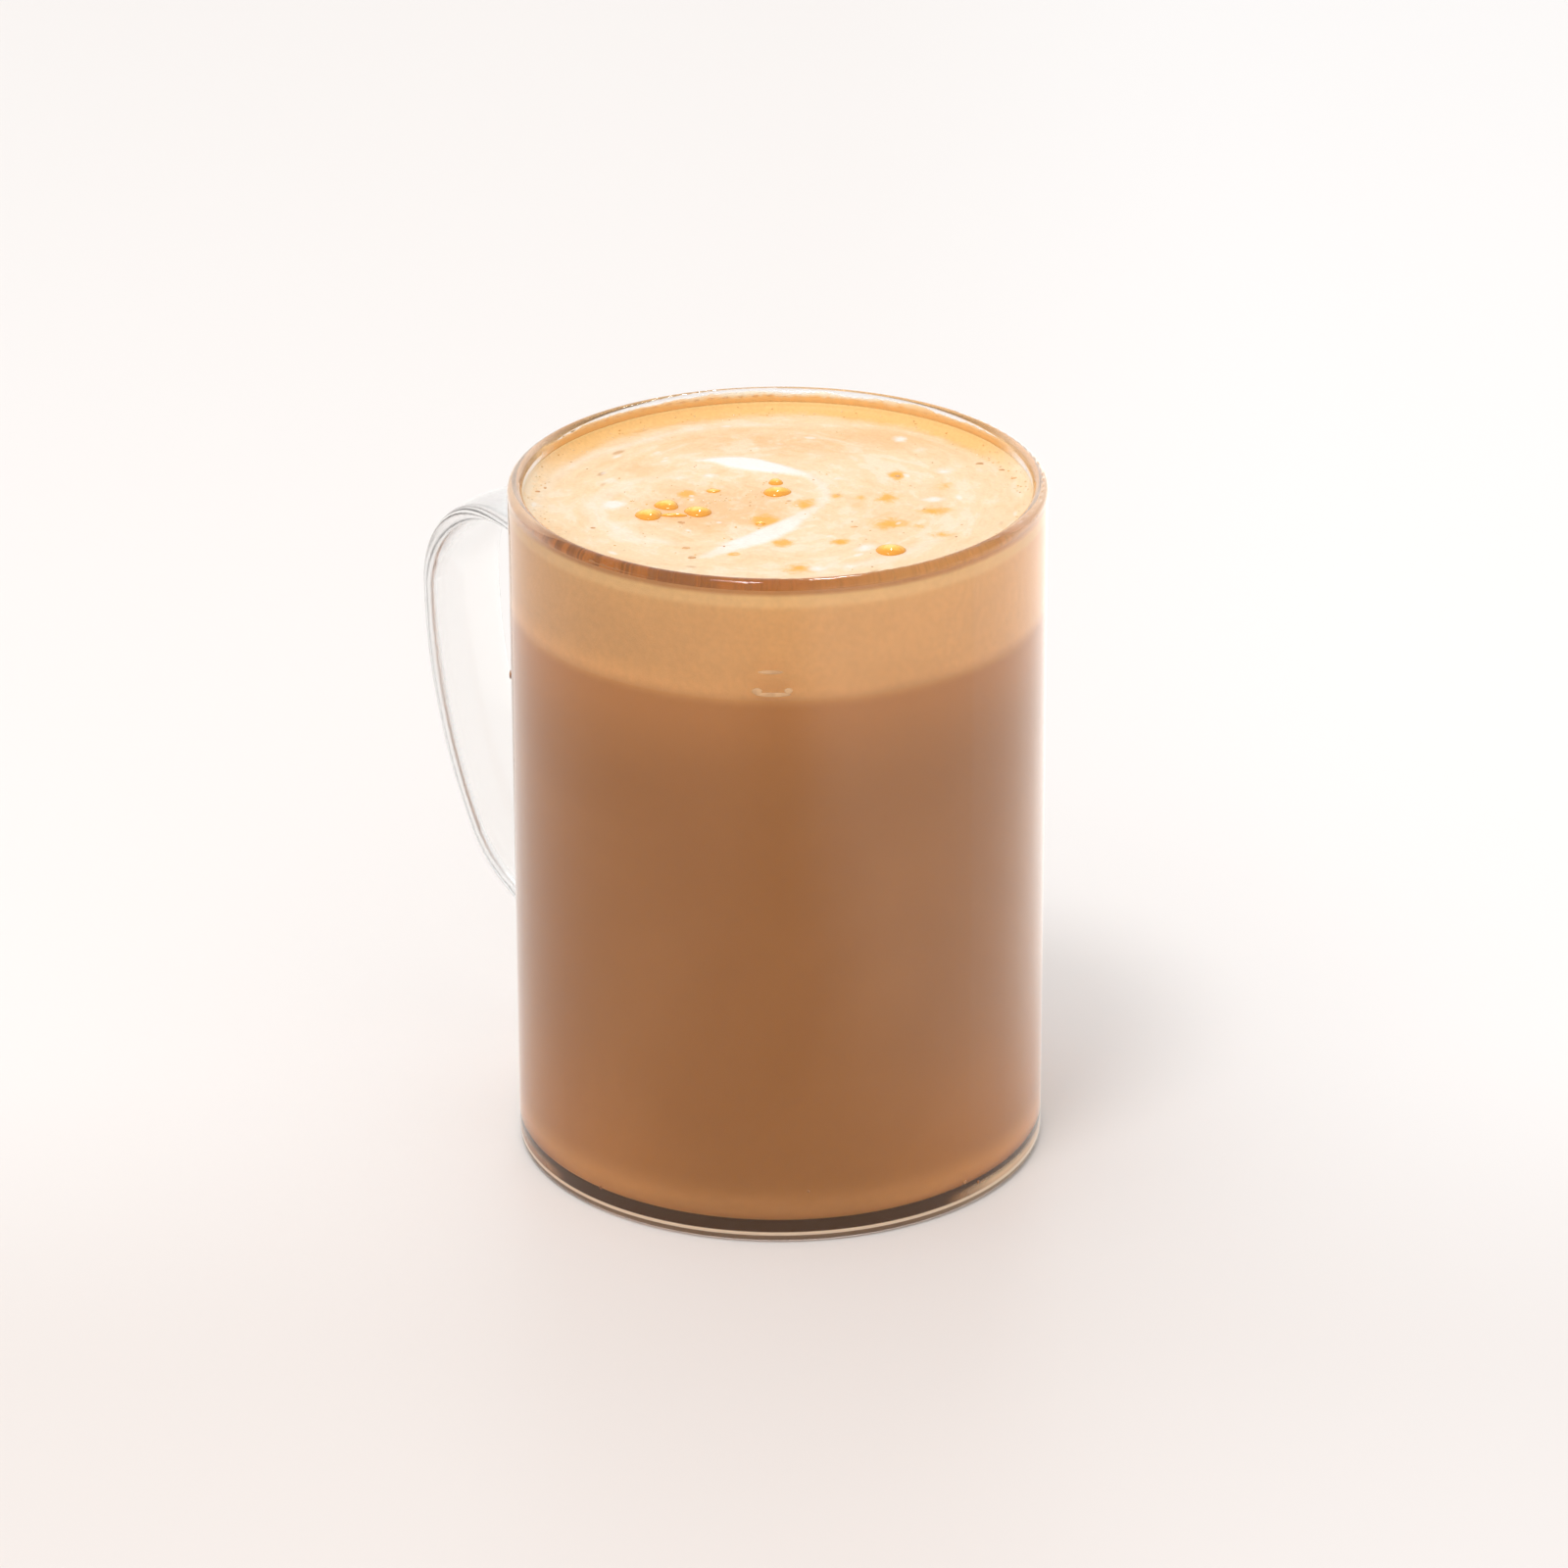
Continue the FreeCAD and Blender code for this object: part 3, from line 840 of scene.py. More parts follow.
@dataclass(frozen=True)
class FoamPattern:
    """Everything that is drawn on the foam: the milk swirl, the veils, the stains and the curds."""

    veil_soft: float = 1.6
    swirl: Stroke = Stroke((
        (-12.2, 16.3, 0.2, 1.0), (-8.8, 16.3, 2.6, 1.0), (-5.4, 15.3, 5.0, 1.0), (-2.0, 13.6, 4.4, 1.0),
        (1.4, 12.0, 2.8, 0.9), (4.4, 10.0, 1.9, 0.55), (6.4, 6.6, 1.6, 0.38), (7.1, 2.4, 1.7, 0.38),
        (6.2, -2.0, 1.8, 0.38), (3.8, -5.6, 2.2, 0.5), (2.0, -8.8, 3.2, 0.75), (-0.6, -12.2, 4.4, 0.8),
        (-3.2, -15.4, 4.2, 0.85), (-6.6, -18.2, 3.4, 0.75), (-9.4, -20.9, 2.2, 0.5),
        (-11.6, -22.6, 0.4, 0.4),
    ))
    veils: tuple[Stroke, ...] = (
        Stroke((
            (-35.4, -10.0, 0.8, 0.2), (-34.4, 6.0, 1.6, 0.5), (-29.0, 17.4, 1.6, 0.6),
            (-22.0, 23.4, 1.4, 0.7), (-14.0, 29.0, 1.2, 0.7), (-4.0, 31.4, 0.9, 0.5),
            (8.0, 31.4, 0.4, 0.2),
        )),
        Stroke((
            (-27.0, -9.0, 2.4, 0.3), (-26.6, 0.0, 3.6, 0.5), (-22.0, 7.6, 1.8, 0.5),
            (-15.0, 10.4, 1.4, 0.3),
        )),
        Stroke(((-25.0, -9.0, 2.4, 0.5), (-21.6, -14.0, 3.4, 0.5), (-14.0, -17.0, 1.2, 0.3))),
        Stroke((
            (5.0, -26.5, 1.4, 0.5), (14.0, -24.5, 2.6, 0.55), (22.0, -17.0, 2.0, 0.5),
            (28.0, -9.0, 1.0, 0.3),
        )),
    )
    amber: tuple[Spot, ...] = (
        Spot(-9.5, -3.0, 36.0, 27.0, 1.25), Spot(16.0, -6.0, 26.0, 34.0, 0.45),
        Spot(2.0, 24.0, 56.0, 17.0, 1.0), Spot(-20.0, 14.0, 26.0, 12.0, 0.35),
    )
    stains: tuple[Spot, ...] = (
        Spot(16.6, -9.5, 8.0, 7.0, 1.0), Spot(16.3, 0.7, 6.0, 7.0, 0.9), Spot(22.9, -4.5, 7.5, 6.0, 0.8),
        Spot(4.0, -1.6, 6.0, 7.0, 0.9), Spot(3.0, -26.6, 7.0, 6.0, 0.8), Spot(-13.6, 2.6, 3.8, 4.2, 1.3),
        Spot(-9.7, 4.1, 3.0, 2.6, 1.4), Spot(-1.8, -7.8, 6.0, 8.0, 1.2), Spot(0.6, -16.7, 5.6, 5.0, 1.1),
        Spot(9.1, -16.4, 4.0, 4.0, 1.1), Spot(17.8, 10.2, 3.6, 5.0, 1.3), Spot(20.6, -10.6, 4.5, 4.0, 0.7),
        Spot(24.0, -14.0, 8.0, 4.0, 0.6), Spot(8.6, 1.8, 3.4, 4.0, 0.7), Spot(12.4, 1.0, 3.4, 3.6, 0.6),
        Spot(25.0, 6.0, 4.4, 4.4, 0.6), Spot(-7.6, -18.0, 3.0, 1.6, 1.1), Spot(-6.4, -21.2, 2.6, 1.8, 1.2),
        Spot(24.2, 27.6, 2.6, 3.6, 1.0),
    )
    curds: tuple[Spot, ...] = (
        Spot(-24.2, -1.4, 5.4, 5.4, 1.6), Spot(-10.3, 10.1, 4.6, 3.6, 1.0),
        Spot(-14.6, 9.4, 7.0, 4.0, 0.7), Spot(-25.6, 8.6, 6.0, 4.6, 0.7), Spot(12.6, -18.7, 5.0, 5.4, 1.2),
        Spot(25.0, 11.8, 5.2, 4.6, 1.0), Spot(23.1, 0.2, 5.6, 4.0, 1.1), Spot(5.7, -26.6, 4.6, 3.6, 1.0),
        Spot(10.7, -25.9, 4.4, 3.4, 0.9), Spot(18.6, 25.2, 3.6, 4.6, 1.2), Spot(21.4, 20.6, 3.4, 4.4, 0.7),
        Spot(9.0, 8.8, 3.6, 3.4, 0.8),
    )

    def lay(self, piece: bpy.types.Object, x: np.ndarray, y: np.ndarray) -> None:
        """Stores the pattern on the foam's mesh.

        Args:
            piece: The foam.
            x: The corners' x, in metres.
            y: The corners' y, in metres.
        """
        across, away = to_view(x / MM, y / MM)
        depth, strength = self.swirl.reach(across, away)
        set_numbers(piece, "swirl", depth)
        set_numbers(piece, "swirl_strength", strength)
        veil = np.zeros(across.shape)
        for stroke in self.veils:
            inside, power = stroke.reach(across, away)
            veil = np.maximum(veil, power * np.clip(0.5 + inside / self.veil_soft, 0.0, 1.0))
        set_numbers(piece, "veil", veil)
        for name, spots in (("amber", self.amber), ("stain", self.stains), ("curd", self.curds)):
            cover = [spot.cover(across, away) for spot in spots]
            set_numbers(piece, name, np.maximum.reduce(cover))


@dataclass(frozen=True)
class Flecks:
    """Dots strewn in a material: how many in a metre, their colour, how rare and how strong they are."""

    scale: float
    colour: Colour
    rarity: float
    strength: float
    size: Span = (0.30, 0.12)
    choice_soft: float = 0.02

    def lay(self, graph: Graph, flow: Socket, ground: Socket) -> Socket:
        """Puts the dots on a ground.

        Args:
            graph: The material's tree.
            flow: The coordinates that they follow.
            ground: The colour under them.

        Returns:
            The colour with the dots.
        """
        cells = graph.add("TexVoronoi", Vector=flow, Scale=self.scale)
        number = graph.add("SeparateColor", Color=cells.outputs["Color"]).outputs[0]
        chosen = graph.step(number, self.rarity, self.rarity + self.choice_soft)
        dot = graph.step(cells.outputs["Distance"], *self.size)
        return graph.mix(graph.times(chosen, dot, self.strength), ground, self.colour)


@dataclass(frozen=True)
class FoamFinish:
    """Fine milk foam, stained by the coffee and marked with milk, with painted light and shade on its side.

    Bands are depths under the crest, and parts are shares of the bore across or away.
    """

    sizes: MugSizes
    name: str = "milk_foam"
    cream: Colour = (0.7855, 0.5907, 0.3742)
    pale: Colour = (0.7923, 0.6621, 0.4979)
    tan: Colour = (0.7719, 0.5135, 0.2824)
    amber: Colour = (0.7518, 0.4724, 0.2409)
    orange: Colour = (0.77, 0.385, 0.06)
    rust: Colour = (0.4927, 0.2248, 0.0783)
    milk: Colour = (0.7923, 0.7719, 0.7385)
    crest: Colour = (0.7719, 0.4674, 0.1767)
    lip: Colour = (0.76, 0.50, 0.20)
    side: Colour = (0.885, 0.47, 0.162)
    painted_lit_side_top: Colour = (0.96, 0.575, 0.225)
    film: Colour = (0.7, 0.3, 0.08)
    flecks: tuple[Flecks, ...] = (Flecks(430.0, rust, 0.93, 0.6), Flecks(520.0, milk, 0.90, 0.55))
    wisps: Noise = Noise(190.0, 6.0, 0.66, 0.7)
    bits: Noise = Noise(560.0, 4.0, 0.62, 0.4)
    fine: Noise = Noise(420.0, 6.0, 0.7, 0.5)
    ragged: Noise = Noise(130.0, 4.0, 0.6)
    grain: Noise = Noise(1700.0, 3.0, 0.7, low=0.3, high=0.72, floor=0.95, top=1.04)
    side_clouds: Noise = Noise(70.0, 4.0, 0.6, 0.5, low=0.3, high=0.75, floor=0.96, top=1.04)
    side_grain: Noise = Noise(1100.0, 2.0, 0.6, low=0.3, high=0.7, floor=0.97, top=1.03)
    lumps: Noise = Noise(600.0, 4.0, 0.65)
    gloss: Noise = Noise(300.0, low=0.35, high=0.7, floor=0.4, top=0.6)
    froth_scale: float = 1700.0
    froth_height: float = 0.35
    relief: float = 0.10 * MM
    swirl_middle: Point = (-3.0 * MM, -1.0 * MM)
    flow_round: float = 16.0 * MM
    flow_calm: float = 6.0 * MM
    ring_span: Span = (3.8 * MM, 1.0 * MM)
    ring_ragged: float = 3.4 * MM
    ring_fine: float = 2.2 * MM
    ring_part: Span = (0.22, 0.62)
    lip_band: Span = (0.5 * MM, 0.05 * MM)
    painted_lit_top_band: Span = (3.4 * MM, 2.3 * MM)
    film_band: Span = (1.3 * MM, 0.5 * MM)
    film_part: Span = (0.0, -0.5)
    rise_span: Span = (1.0 * MM, 7.0 * MM)
    painted_left_shade: float = 0.15
    painted_left_shade_part: Span = (0.0, -0.68)
    painted_left_shade_span: Span = (0.5 * MM, 5.0 * MM)
    edge_soft: float = 0.02 * MM
    bits_share: float = 0.45
    wisps_share: float = 0.75
    pale_wisps: Ease = (0.60, 0.50, 0.0, 0.75)
    tan_wisps: Ease = (0.61, 0.74, 0.0, 0.7)
    amber_wisps: float = 1.6
    amber_fine: Point = (0.9, -0.75)
    amber_cover: Ease = (-0.02, 0.5, 0.0, 0.9)
    veil_grain: Ease = (0.25, 0.7, 0.55, 1.3)
    veil_strength: float = 0.5
    fray: Point = (1.5, -0.85)
    stain_cover: Span = (0.0, 0.75)
    curd_cover: Ease = (0.1, 1.0, 0.0, 0.8)
    feather: Point = (2.6, -1.3)
    feather_loose: Point = (1.1, 0.22)
    swirl_cover: Span = (-0.55, 0.75)
    froth_round: Span = (0.0, 0.55)
    bump: float = 0.3
    specular: float = 0.3

    def flow(self, graph: Graph, across: Socket, away: Socket) -> Socket:
        """Makes coordinates that run round the swirl, so that noise in them draws curved wisps.

        Args:
            graph: The material's tree.
            across: The place across.
            away: The place away from the viewer.

        Returns:
            The coordinates.
        """
        u = graph.math("SUBTRACT", across, self.swirl_middle[0])
        v = graph.math("SUBTRACT", away, self.swirl_middle[1])
        flat = graph.add("CombineXYZ", X=u, Y=v).outputs[0]
        reach = graph.vector("LENGTH", flat).outputs["Value"]
        share = graph.math("DIVIDE", self.flow_round, graph.math("ADD", reach, self.flow_calm))
        lift = graph.add("CombineXYZ", Z=reach).outputs[0]
        return graph.vector("ADD", graph.scaled(flat, share), lift).outputs[0]

    def marbled(self, graph: Graph, flow: Socket, fine: Socket) -> Socket:
        """The ground of the foam: cream with pale and tan wisps and the amber fields.

        Args:
            graph: The material's tree.
            flow: The coordinates that run round the swirl.
            fine: The fine noise that frays every edge.

        Returns:
            The colour.
        """
        wisps = graph.noise(flow, self.wisps)
        bits = graph.noise(flow, self.bits)
        both = graph.math("MULTIPLY_ADD", bits, self.bits_share, graph.times(wisps, self.wisps_share))
        top = graph.mix(graph.step(both, *self.pale_wisps), self.cream, self.pale)
        top = graph.mix(graph.step(both, *self.tan_wisps), top, self.tan)
        frayed = graph.math("MULTIPLY_ADD", fine, *self.amber_fine)
        broken = graph.math("MULTIPLY_ADD", wisps, self.amber_wisps, frayed)
        warm = graph.times(graph.attribute("amber"), broken)
        return graph.mix(graph.step(warm, *self.amber_cover), top, self.amber)

    def spotted(self, graph: Graph, ground: Socket, fine: Socket, flow: Socket) -> Socket:
        """Adds the veils, the stains, the curds and the flecks.

        Args:
            graph: The material's tree.
            ground: The colour under them.
            fine: The fine noise that frays every edge.
            flow: The coordinates that run round the swirl.

        Returns:
            The colour.
        """
        grain = graph.step(fine, *self.veil_grain)
        veil = graph.times(graph.attribute("veil"), grain, self.veil_strength)
        top = graph.mix(veil, ground, self.milk)
        frayed = graph.math("MULTIPLY_ADD", fine, *self.fray)
        stain = graph.math("ADD", graph.attribute("stain"), frayed)
        top = graph.mix(graph.step(stain, *self.stain_cover), top, self.orange)
        curd = graph.math("ADD", graph.attribute("curd"), frayed)
        top = graph.mix(graph.step(curd, *self.curd_cover), top, self.milk)
        for flecks in self.flecks:
            top = flecks.lay(graph, flow, top)
        return top

    def swirled(self, graph: Graph, ground: Socket, fine: Socket) -> Socket:
        """Adds the milk swirl, with an edge that is the more feathered the weaker it is.

        Args:
            graph: The material's tree.
            ground: The colour under it.
            fine: The fine noise that frays every edge.

        Returns:
            The colour.
        """
        strength = graph.attribute("swirl_strength")
        loose = graph.math("MULTIPLY_ADD", graph.math("SUBTRACT", 1.0, strength), *self.feather_loose)
        feather = graph.math("MULTIPLY_ADD", fine, *self.feather)
        edge = graph.math("MULTIPLY_ADD", feather, loose, graph.attribute("swirl"))
        return graph.mix(graph.times(graph.step(edge, *self.swirl_cover), strength), ground, self.milk)

    def top_colour(self, graph: Graph, place: Socket, radius: Socket) -> Socket:
        """The colours of the foam's top.

        Args:
            graph: The material's tree.
            place: The point on the foam.
            radius: The distance from the mug's axis.

        Returns:
            The colour.
        """
        across, away, height = graph.seen_from_front(place)
        flow = self.flow(graph, across, away)
        fine = graph.noise(place, self.fine)
        top = self.spotted(graph, self.marbled(graph, flow, fine), fine, flow)
        top = self.swirled(graph, top, fine)
        bore = self.sizes.bore
        depth = graph.math("SUBTRACT", self.sizes.foam_crest, height)
        swing = graph.math("MULTIPLY_ADD", fine, self.ring_fine, -0.5 * (self.ring_ragged + self.ring_fine))
        reach = graph.math("MULTIPLY_ADD", graph.noise(place, self.ragged), self.ring_ragged, swing)
        inwards = graph.math("SUBTRACT", bore, graph.math("ADD", radius, reach))
        far = graph.step(graph.math("DIVIDE", away, bore), *self.ring_part)
        ring = graph.times(graph.step(inwards, *self.ring_span), far)
        band = graph.mix(graph.step(depth, *self.lip_band), self.crest, self.lip)
        return graph.scaled(graph.mix(ring, top, band), graph.noise(place, self.grain))

    def side_colour(self, graph: Graph, place: Socket) -> Socket:
        """The colours of the foam against the glass, with a painted lighter top and a painted darker left
        side.

        Args:
            graph: The material's tree.
            place: The point on the foam.

        Returns:
            The colour.
        """
        across, away, height = graph.seen_from_front(place)
        depth = graph.math("SUBTRACT", self.sizes.foam_crest, height)
        edge = FoamLine(self.sizes)
        level = edge.level(graph, place)
        side = graph.mix(graph.step(level, *self.rise_span), edge.foam, self.side)
        # Painted light: the side is brighter towards its top.
        side = graph.mix(graph.step(depth, *self.painted_lit_top_band), side, self.painted_lit_side_top)
        near = graph.step(graph.math("DIVIDE", away, self.sizes.bore), *self.film_part)
        side = graph.mix(graph.times(graph.step(depth, *self.film_band), near), side, self.film)
        side = graph.mix(edge.share(graph, level), edge.milky, side)
        # Painted shade: the side is darker on the left, above the foam line.
        left = graph.step(graph.math("DIVIDE", across, self.sizes.bore), *self.painted_left_shade_part)
        painted_left_shade = graph.times(left, graph.step(level, *self.painted_left_shade_span), self.painted_left_shade)
        mottle = graph.times(graph.noise(place, self.side_clouds), graph.noise(place, self.side_grain))
        return graph.scaled(side, graph.times(mottle, graph.math("SUBTRACT", 1.0, painted_left_shade)))

    def material(self) -> bpy.types.Material:
        """Builds the material: the drawn top and the side, with fine bubbles in relief."""
        graph = Graph(self.name)
        place = graph.place()
        x, y, _ = graph.parts(place)
        radius = graph.vector("LENGTH", graph.add("CombineXYZ", X=x, Y=y).outputs[0]).outputs["Value"]
        bore = self.sizes.bore
        outside = graph.step(radius, bore - self.edge_soft, bore + self.edge_soft)
        colour = graph.mix(outside, self.top_colour(graph, place, radius), self.side_colour(graph, place))
        cells = graph.add("TexVoronoi", Vector=place, Scale=self.froth_scale)
        froth = graph.step(cells.outputs["Distance"], *self.froth_round)
        relief = graph.math("MULTIPLY_ADD", froth, self.froth_height, graph.noise(place, self.lumps))
        bump = graph.add("Bump", Height=relief, Distance=self.relief, Strength=self.bump).outputs[0]
        gloss = graph.noise(place, self.gloss)
        return graph.output(graph.surface(colour, gloss, self.specular, Normal=bump))


@dataclass
class FoamCap:
    """The foam: a skirt against the glass, a climbing edge, and a flat top with low relief."""

    sizes: MugSizes
    pattern: FoamPattern = field(default_factory=FoamPattern)
    climb_reach: float = 2.2 * MM
    climb_height: float = 1.5 * MM
    rings: int = 150
    around: int = 560
    crowding: float = 1.1
    swell: float = 0.14 * MM
    swell_scale: float = 90.0
    swell_seed: float = 0.3
    swirl_height: float = 0.16 * MM
    swirl_edge: float = 0.3
    firm: float = 0.02 * MM
    rounding: Span = (0.3 * MM, 0.2 * MM)

    def top_height(self, x: np.ndarray, y: np.ndarray) -> np.ndarray:
        """The height of the foam's top at each point.

        Args:
            x: The points' x, in metres.
            y: The points' y, in metres.

        Returns:
            The heights, in metres.
        """
        radius = np.hypot(x, y)
        flat = self.sizes.foam_crest - self.climb_height
        share = np.clip((radius - self.sizes.bore + self.climb_reach) / self.climb_reach, 0.0, 1.0)
        climb = self.climb_height * (1.0 - np.sqrt(np.clip(1.0 - share**2, 0.0, 1.0)))
        spots = [Vector((a * self.swell_scale, b * self.swell_scale, self.swell_seed)) for a, b in zip(x, y)]
        wave = np.array([noise.noise(spot) for spot in spots])
        depth, strength = self.pattern.swirl.reach(*to_view(x / MM, y / MM))
        milk = self.swirl_height * strength * np.clip(self.swirl_edge + depth, 0.0, 1.0)
        return flat + climb + (self.swell * wave + milk) * (1.0 - share)

    def build(self) -> None:
        """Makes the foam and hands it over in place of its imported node."""
        share = 1.0 - (np.arange(self.rings) / self.rings) ** self.crowding
        grid_r, grid_a = np.meshgrid(share * self.sizes.bore, turns_round(self.around), indexing="ij")
        x, y = (grid_r * np.cos(grid_a)).ravel(), (grid_r * np.sin(grid_a)).ravel()
        z = self.top_height(x, y)
        low, crest = self.sizes.foam_line, float(z[: self.around].max())
        heights = [low, low + self.firm, 0.5 * (low + crest), *(crest - down for down in self.rounding)]
        skirt = [circle(self.sizes.fill_radius, height, self.around) for height in heights]
        middle = float(self.top_height(np.zeros(1), np.zeros(1))[0])
        corners = np.concatenate([pole(low), *skirt, np.stack([x, y, z], 1), pole(middle)])
        faces = lathe_faces(len(skirt) + self.rings, self.around)
        piece = new_object("foam_cap", corners, faces, FoamFinish(self.sizes).material())
        self.pattern.lay(piece, corners[:, 0], corners[:, 1])
        hand_over(piece, Node.FOAM)


# ---------------------------------------------------------------- what clings to the glass


@dataclass(frozen=True)
class FilmFinish:
    """Coffee and froth on the inside of the wall, just above the foam; the white of the froth is partly
    painted glints.

    Parts are shares of the bore across or away, and rises are heights over the foam's crest. How much of it
    is lit through is a gain towards the far side and the least.
    """

    sizes: MugSizes
    name: str = "wall_film"
    dark: Colour = (0.48, 0.17, 0.02)
    brown: Colour = (0.82, 0.31, 0.035)
    tan: Colour = (0.93, 0.50, 0.13)
    cream: Colour = (0.97, 0.63, 0.27)
    froth: Colour = (0.97, 0.90, 0.76)
    streaks: Noise = Noise(1000.0, 4.0, 0.6)
    stretch: Place = (1.0, 1.0, 0.12)
    patches: Noise = Noise(110.0, 3.0, 0.6)
    lumps: Noise = Noise(480.0, 4.0, 0.65)
    tan_part: Span = (-0.1, 0.55)
    dark_part: Span = (0.1, -0.45)
    dark_share: Span = (0.08, 0.8)
    far_part: Span = (-0.1, 0.3)
    front_part: Span = (-0.15, -0.5)
    back_part: Span = (0.25, 0.55)
    froth_rise: Span = (1.3 * MM, 2.2 * MM)
    froth_glint_middle: float = 3.0 * MM
    froth_glint_reach: Span = (22.0 * MM, 6.0 * MM)
    froth_lumps: float = 1.6 * MM
    edge_rise: float = 0.9 * MM
    edge_drop: float = 0.7 * MM
    edge_patches: float = 1.6 * MM
    edge_lumps: float = 0.5 * MM
    edge_soft: Span = (-0.15 * MM, 0.2 * MM)
    froth_glint_share: Span = (0.25, 1.0)
    dark_streaks: Span = (0.60, 0.42)
    gaps: Ease = (0.34, 0.52, 0.82, 1.0)
    lit_through: Point = (0.15, 0.25)
    roughness: float = 0.35
    specular: float = 0.3

    def front_colour(self, graph: Graph, across: Socket, streaks: Socket) -> Socket:
        """The residue on the viewer's side: dark streaks on the left, which pale to tan on the right.

        Args:
            graph: The material's tree.
            across: The place across, as a share of the bore.
            streaks: The noise that draws the streaks.

        Returns:
            The colour.
        """
        ground = graph.mix(graph.step(across, *self.tan_part), self.brown, self.tan)
        left = graph.step(across, *self.dark_part, *self.dark_share)
        return graph.mix(graph.times(graph.step(streaks, *self.dark_streaks), left), ground, self.dark)

    def back_colour(self, graph: Graph, across: Socket, rise: Socket, lumps: Socket) -> Socket:
        """The froth on the far side: cream, and white at the top of its middle, which is partly real froth and
        partly painted glints.

        Args:
            graph: The material's tree.
            across: The place across.
            rise: The height over the foam's crest.
            lumps: The noise that makes its edge lumpy.

        Returns:
            The colour.
        """
        # The white is partly real froth and partly painted glints, kept to the middle.
        white = graph.step(graph.math("MULTIPLY_ADD", lumps, self.froth_lumps, rise), *self.froth_rise)
        beside = graph.math("ABSOLUTE", graph.math("SUBTRACT", across, self.froth_glint_middle))
        middle = graph.step(beside, *self.froth_glint_reach, *self.froth_glint_share)
        return graph.mix(graph.times(white, middle), self.cream, self.froth)

    def material(self) -> bpy.types.Material:
        """Builds the material: upright brown streaks on the viewer's side, ragged froth on the far side."""
        graph = Graph(self.name)
        place = graph.place()
        across, away, height = graph.seen_from_front(place)
        rise = graph.math("SUBTRACT", height, self.sizes.foam_crest)
        upright = graph.add("Mapping", Vector=place, Scale=self.stretch).outputs[0]
        streaks = graph.noise(upright, self.streaks)
        lumps = graph.noise(place, self.lumps)
        right = graph.math("DIVIDE", across, self.sizes.bore)
        back = graph.math("DIVIDE", away, self.sizes.bore)
        far = graph.step(back, *self.far_part)
        front_colour = self.front_colour(graph, right, streaks)
        colour = graph.mix(far, front_colour, self.back_colour(graph, across, rise, lumps))
        top = graph.math("MULTIPLY_ADD", far, -self.edge_drop, self.edge_rise)
        top = graph.math("MULTIPLY_ADD", graph.noise(place, self.patches), self.edge_patches, top)
        top = graph.math("MULTIPLY_ADD", lumps, self.edge_lumps, top)
        cover = graph.step(graph.math("SUBTRACT", top, rise), *self.edge_soft)
        whole = graph.math("MAXIMUM", graph.step(back, *self.front_part), graph.step(back, *self.back_part))
        gaps = graph.math("MAXIMUM", graph.step(streaks, *self.gaps), far)
        solid = graph.surface(colour, self.roughness, self.specular)
        thin = graph.add("BsdfTranslucent", Color=colour).outputs[0]
        film = graph.mixed(graph.math("MULTIPLY_ADD", far, *self.lit_through), solid, thin)
        return graph.veiled(graph.times(cover, gaps, whole), film)


@dataclass
class WallFilm:
    """A thin ring in the surface of the inner wall, from the foam's edge up round the start of the rim.

    Its far half stands proud of the glass, where the lamps reach it.
    """

    sizes: MugSizes
    bury: float = 0.05 * MM
    proud: float = 0.06 * MM
    thickness: float = 0.02 * MM
    low: float = 0.9 * MM
    rim_part: float = 0.36
    far_start: float = -0.1
    far_reach: float = 0.3
    steps: int = 8
    around: int = 512

    def build(self) -> None:
        """Makes the ring and hands it over."""
        inner = [(self.sizes.bore + self.bury, self.sizes.foam_crest - self.low)]
        round_reach = self.sizes.rim_round - self.bury
        inner += arc(self.sizes.rim_middle, round_reach, 1.0, 1.0 - self.rim_part, self.steps)
        outer = [(r + self.thickness, z) for r, z in inner]
        piece = ring("wall_film", inner[::-1] + outer, self.around, FilmFinish(self.sizes).material())
        self.lift_far_side(piece)
        hand_over(piece)

    def lift_far_side(self, piece: bpy.types.Object) -> None:
        """Moves the ring's far half out of the wall's surface, straight away from the glass."""
        middle, bend = self.sizes.rim_middle
        for corner in piece.data.vertices:
            x, y, z = corner.co
            radius = math.hypot(x, y)
            away = to_view(x, y)[1] / radius
            share = min(max((away - self.far_start) / self.far_reach, 0.0), 1.0)
            out = Vector((radius - middle, z - bend)) if z > bend else Vector((-1.0, 0.0))
            step = out.normalized() * (self.bury + self.proud) * share
            scale = (radius + step.x) / radius
            corner.co = (x * scale, y * scale, z + step.y)


@dataclass(frozen=True)
class PaintedRimSheenFinish:
    """A painted pale sheen on the rim at the two sides, where the thick glass is seen edge-on, stronger
    towards the top.
    """

    sizes: MugSizes
    name: str = "painted_rim_sheen"
    pale: Colour = (0.74, 0.58, 0.46)
    strength: float = 0.3
    patches: Noise = Noise(140.0, low=0.3, high=0.7, floor=0.7)
    side_part: Span = (0.78, 0.97)
    fade: Span = (2.6 * MM, 1.2 * MM)
    roughness: float = 0.5
    specular: float = 0.2

    def material(self) -> bpy.types.Material:
        """Builds the material: mostly clear, with soft patches of painted pale sheen."""
        graph = Graph(self.name)
        place = graph.place()
        across, _, height = graph.seen_from_front(place)
        beside = graph.math("DIVIDE", graph.math("ABSOLUTE", across), self.sizes.outer_radius)
        depth = graph.math("SUBTRACT", self.sizes.rim_height, height)
        rise = graph.step(depth, *self.fade, 0.0, self.strength)
        # Painted sheen: pale patches at the two sides, stronger towards the top.
        shown = graph.times(rise, graph.noise(place, self.patches), graph.step(beside, *self.side_part))
        return graph.veiled(shown, graph.surface(self.pale, self.roughness, self.specular))


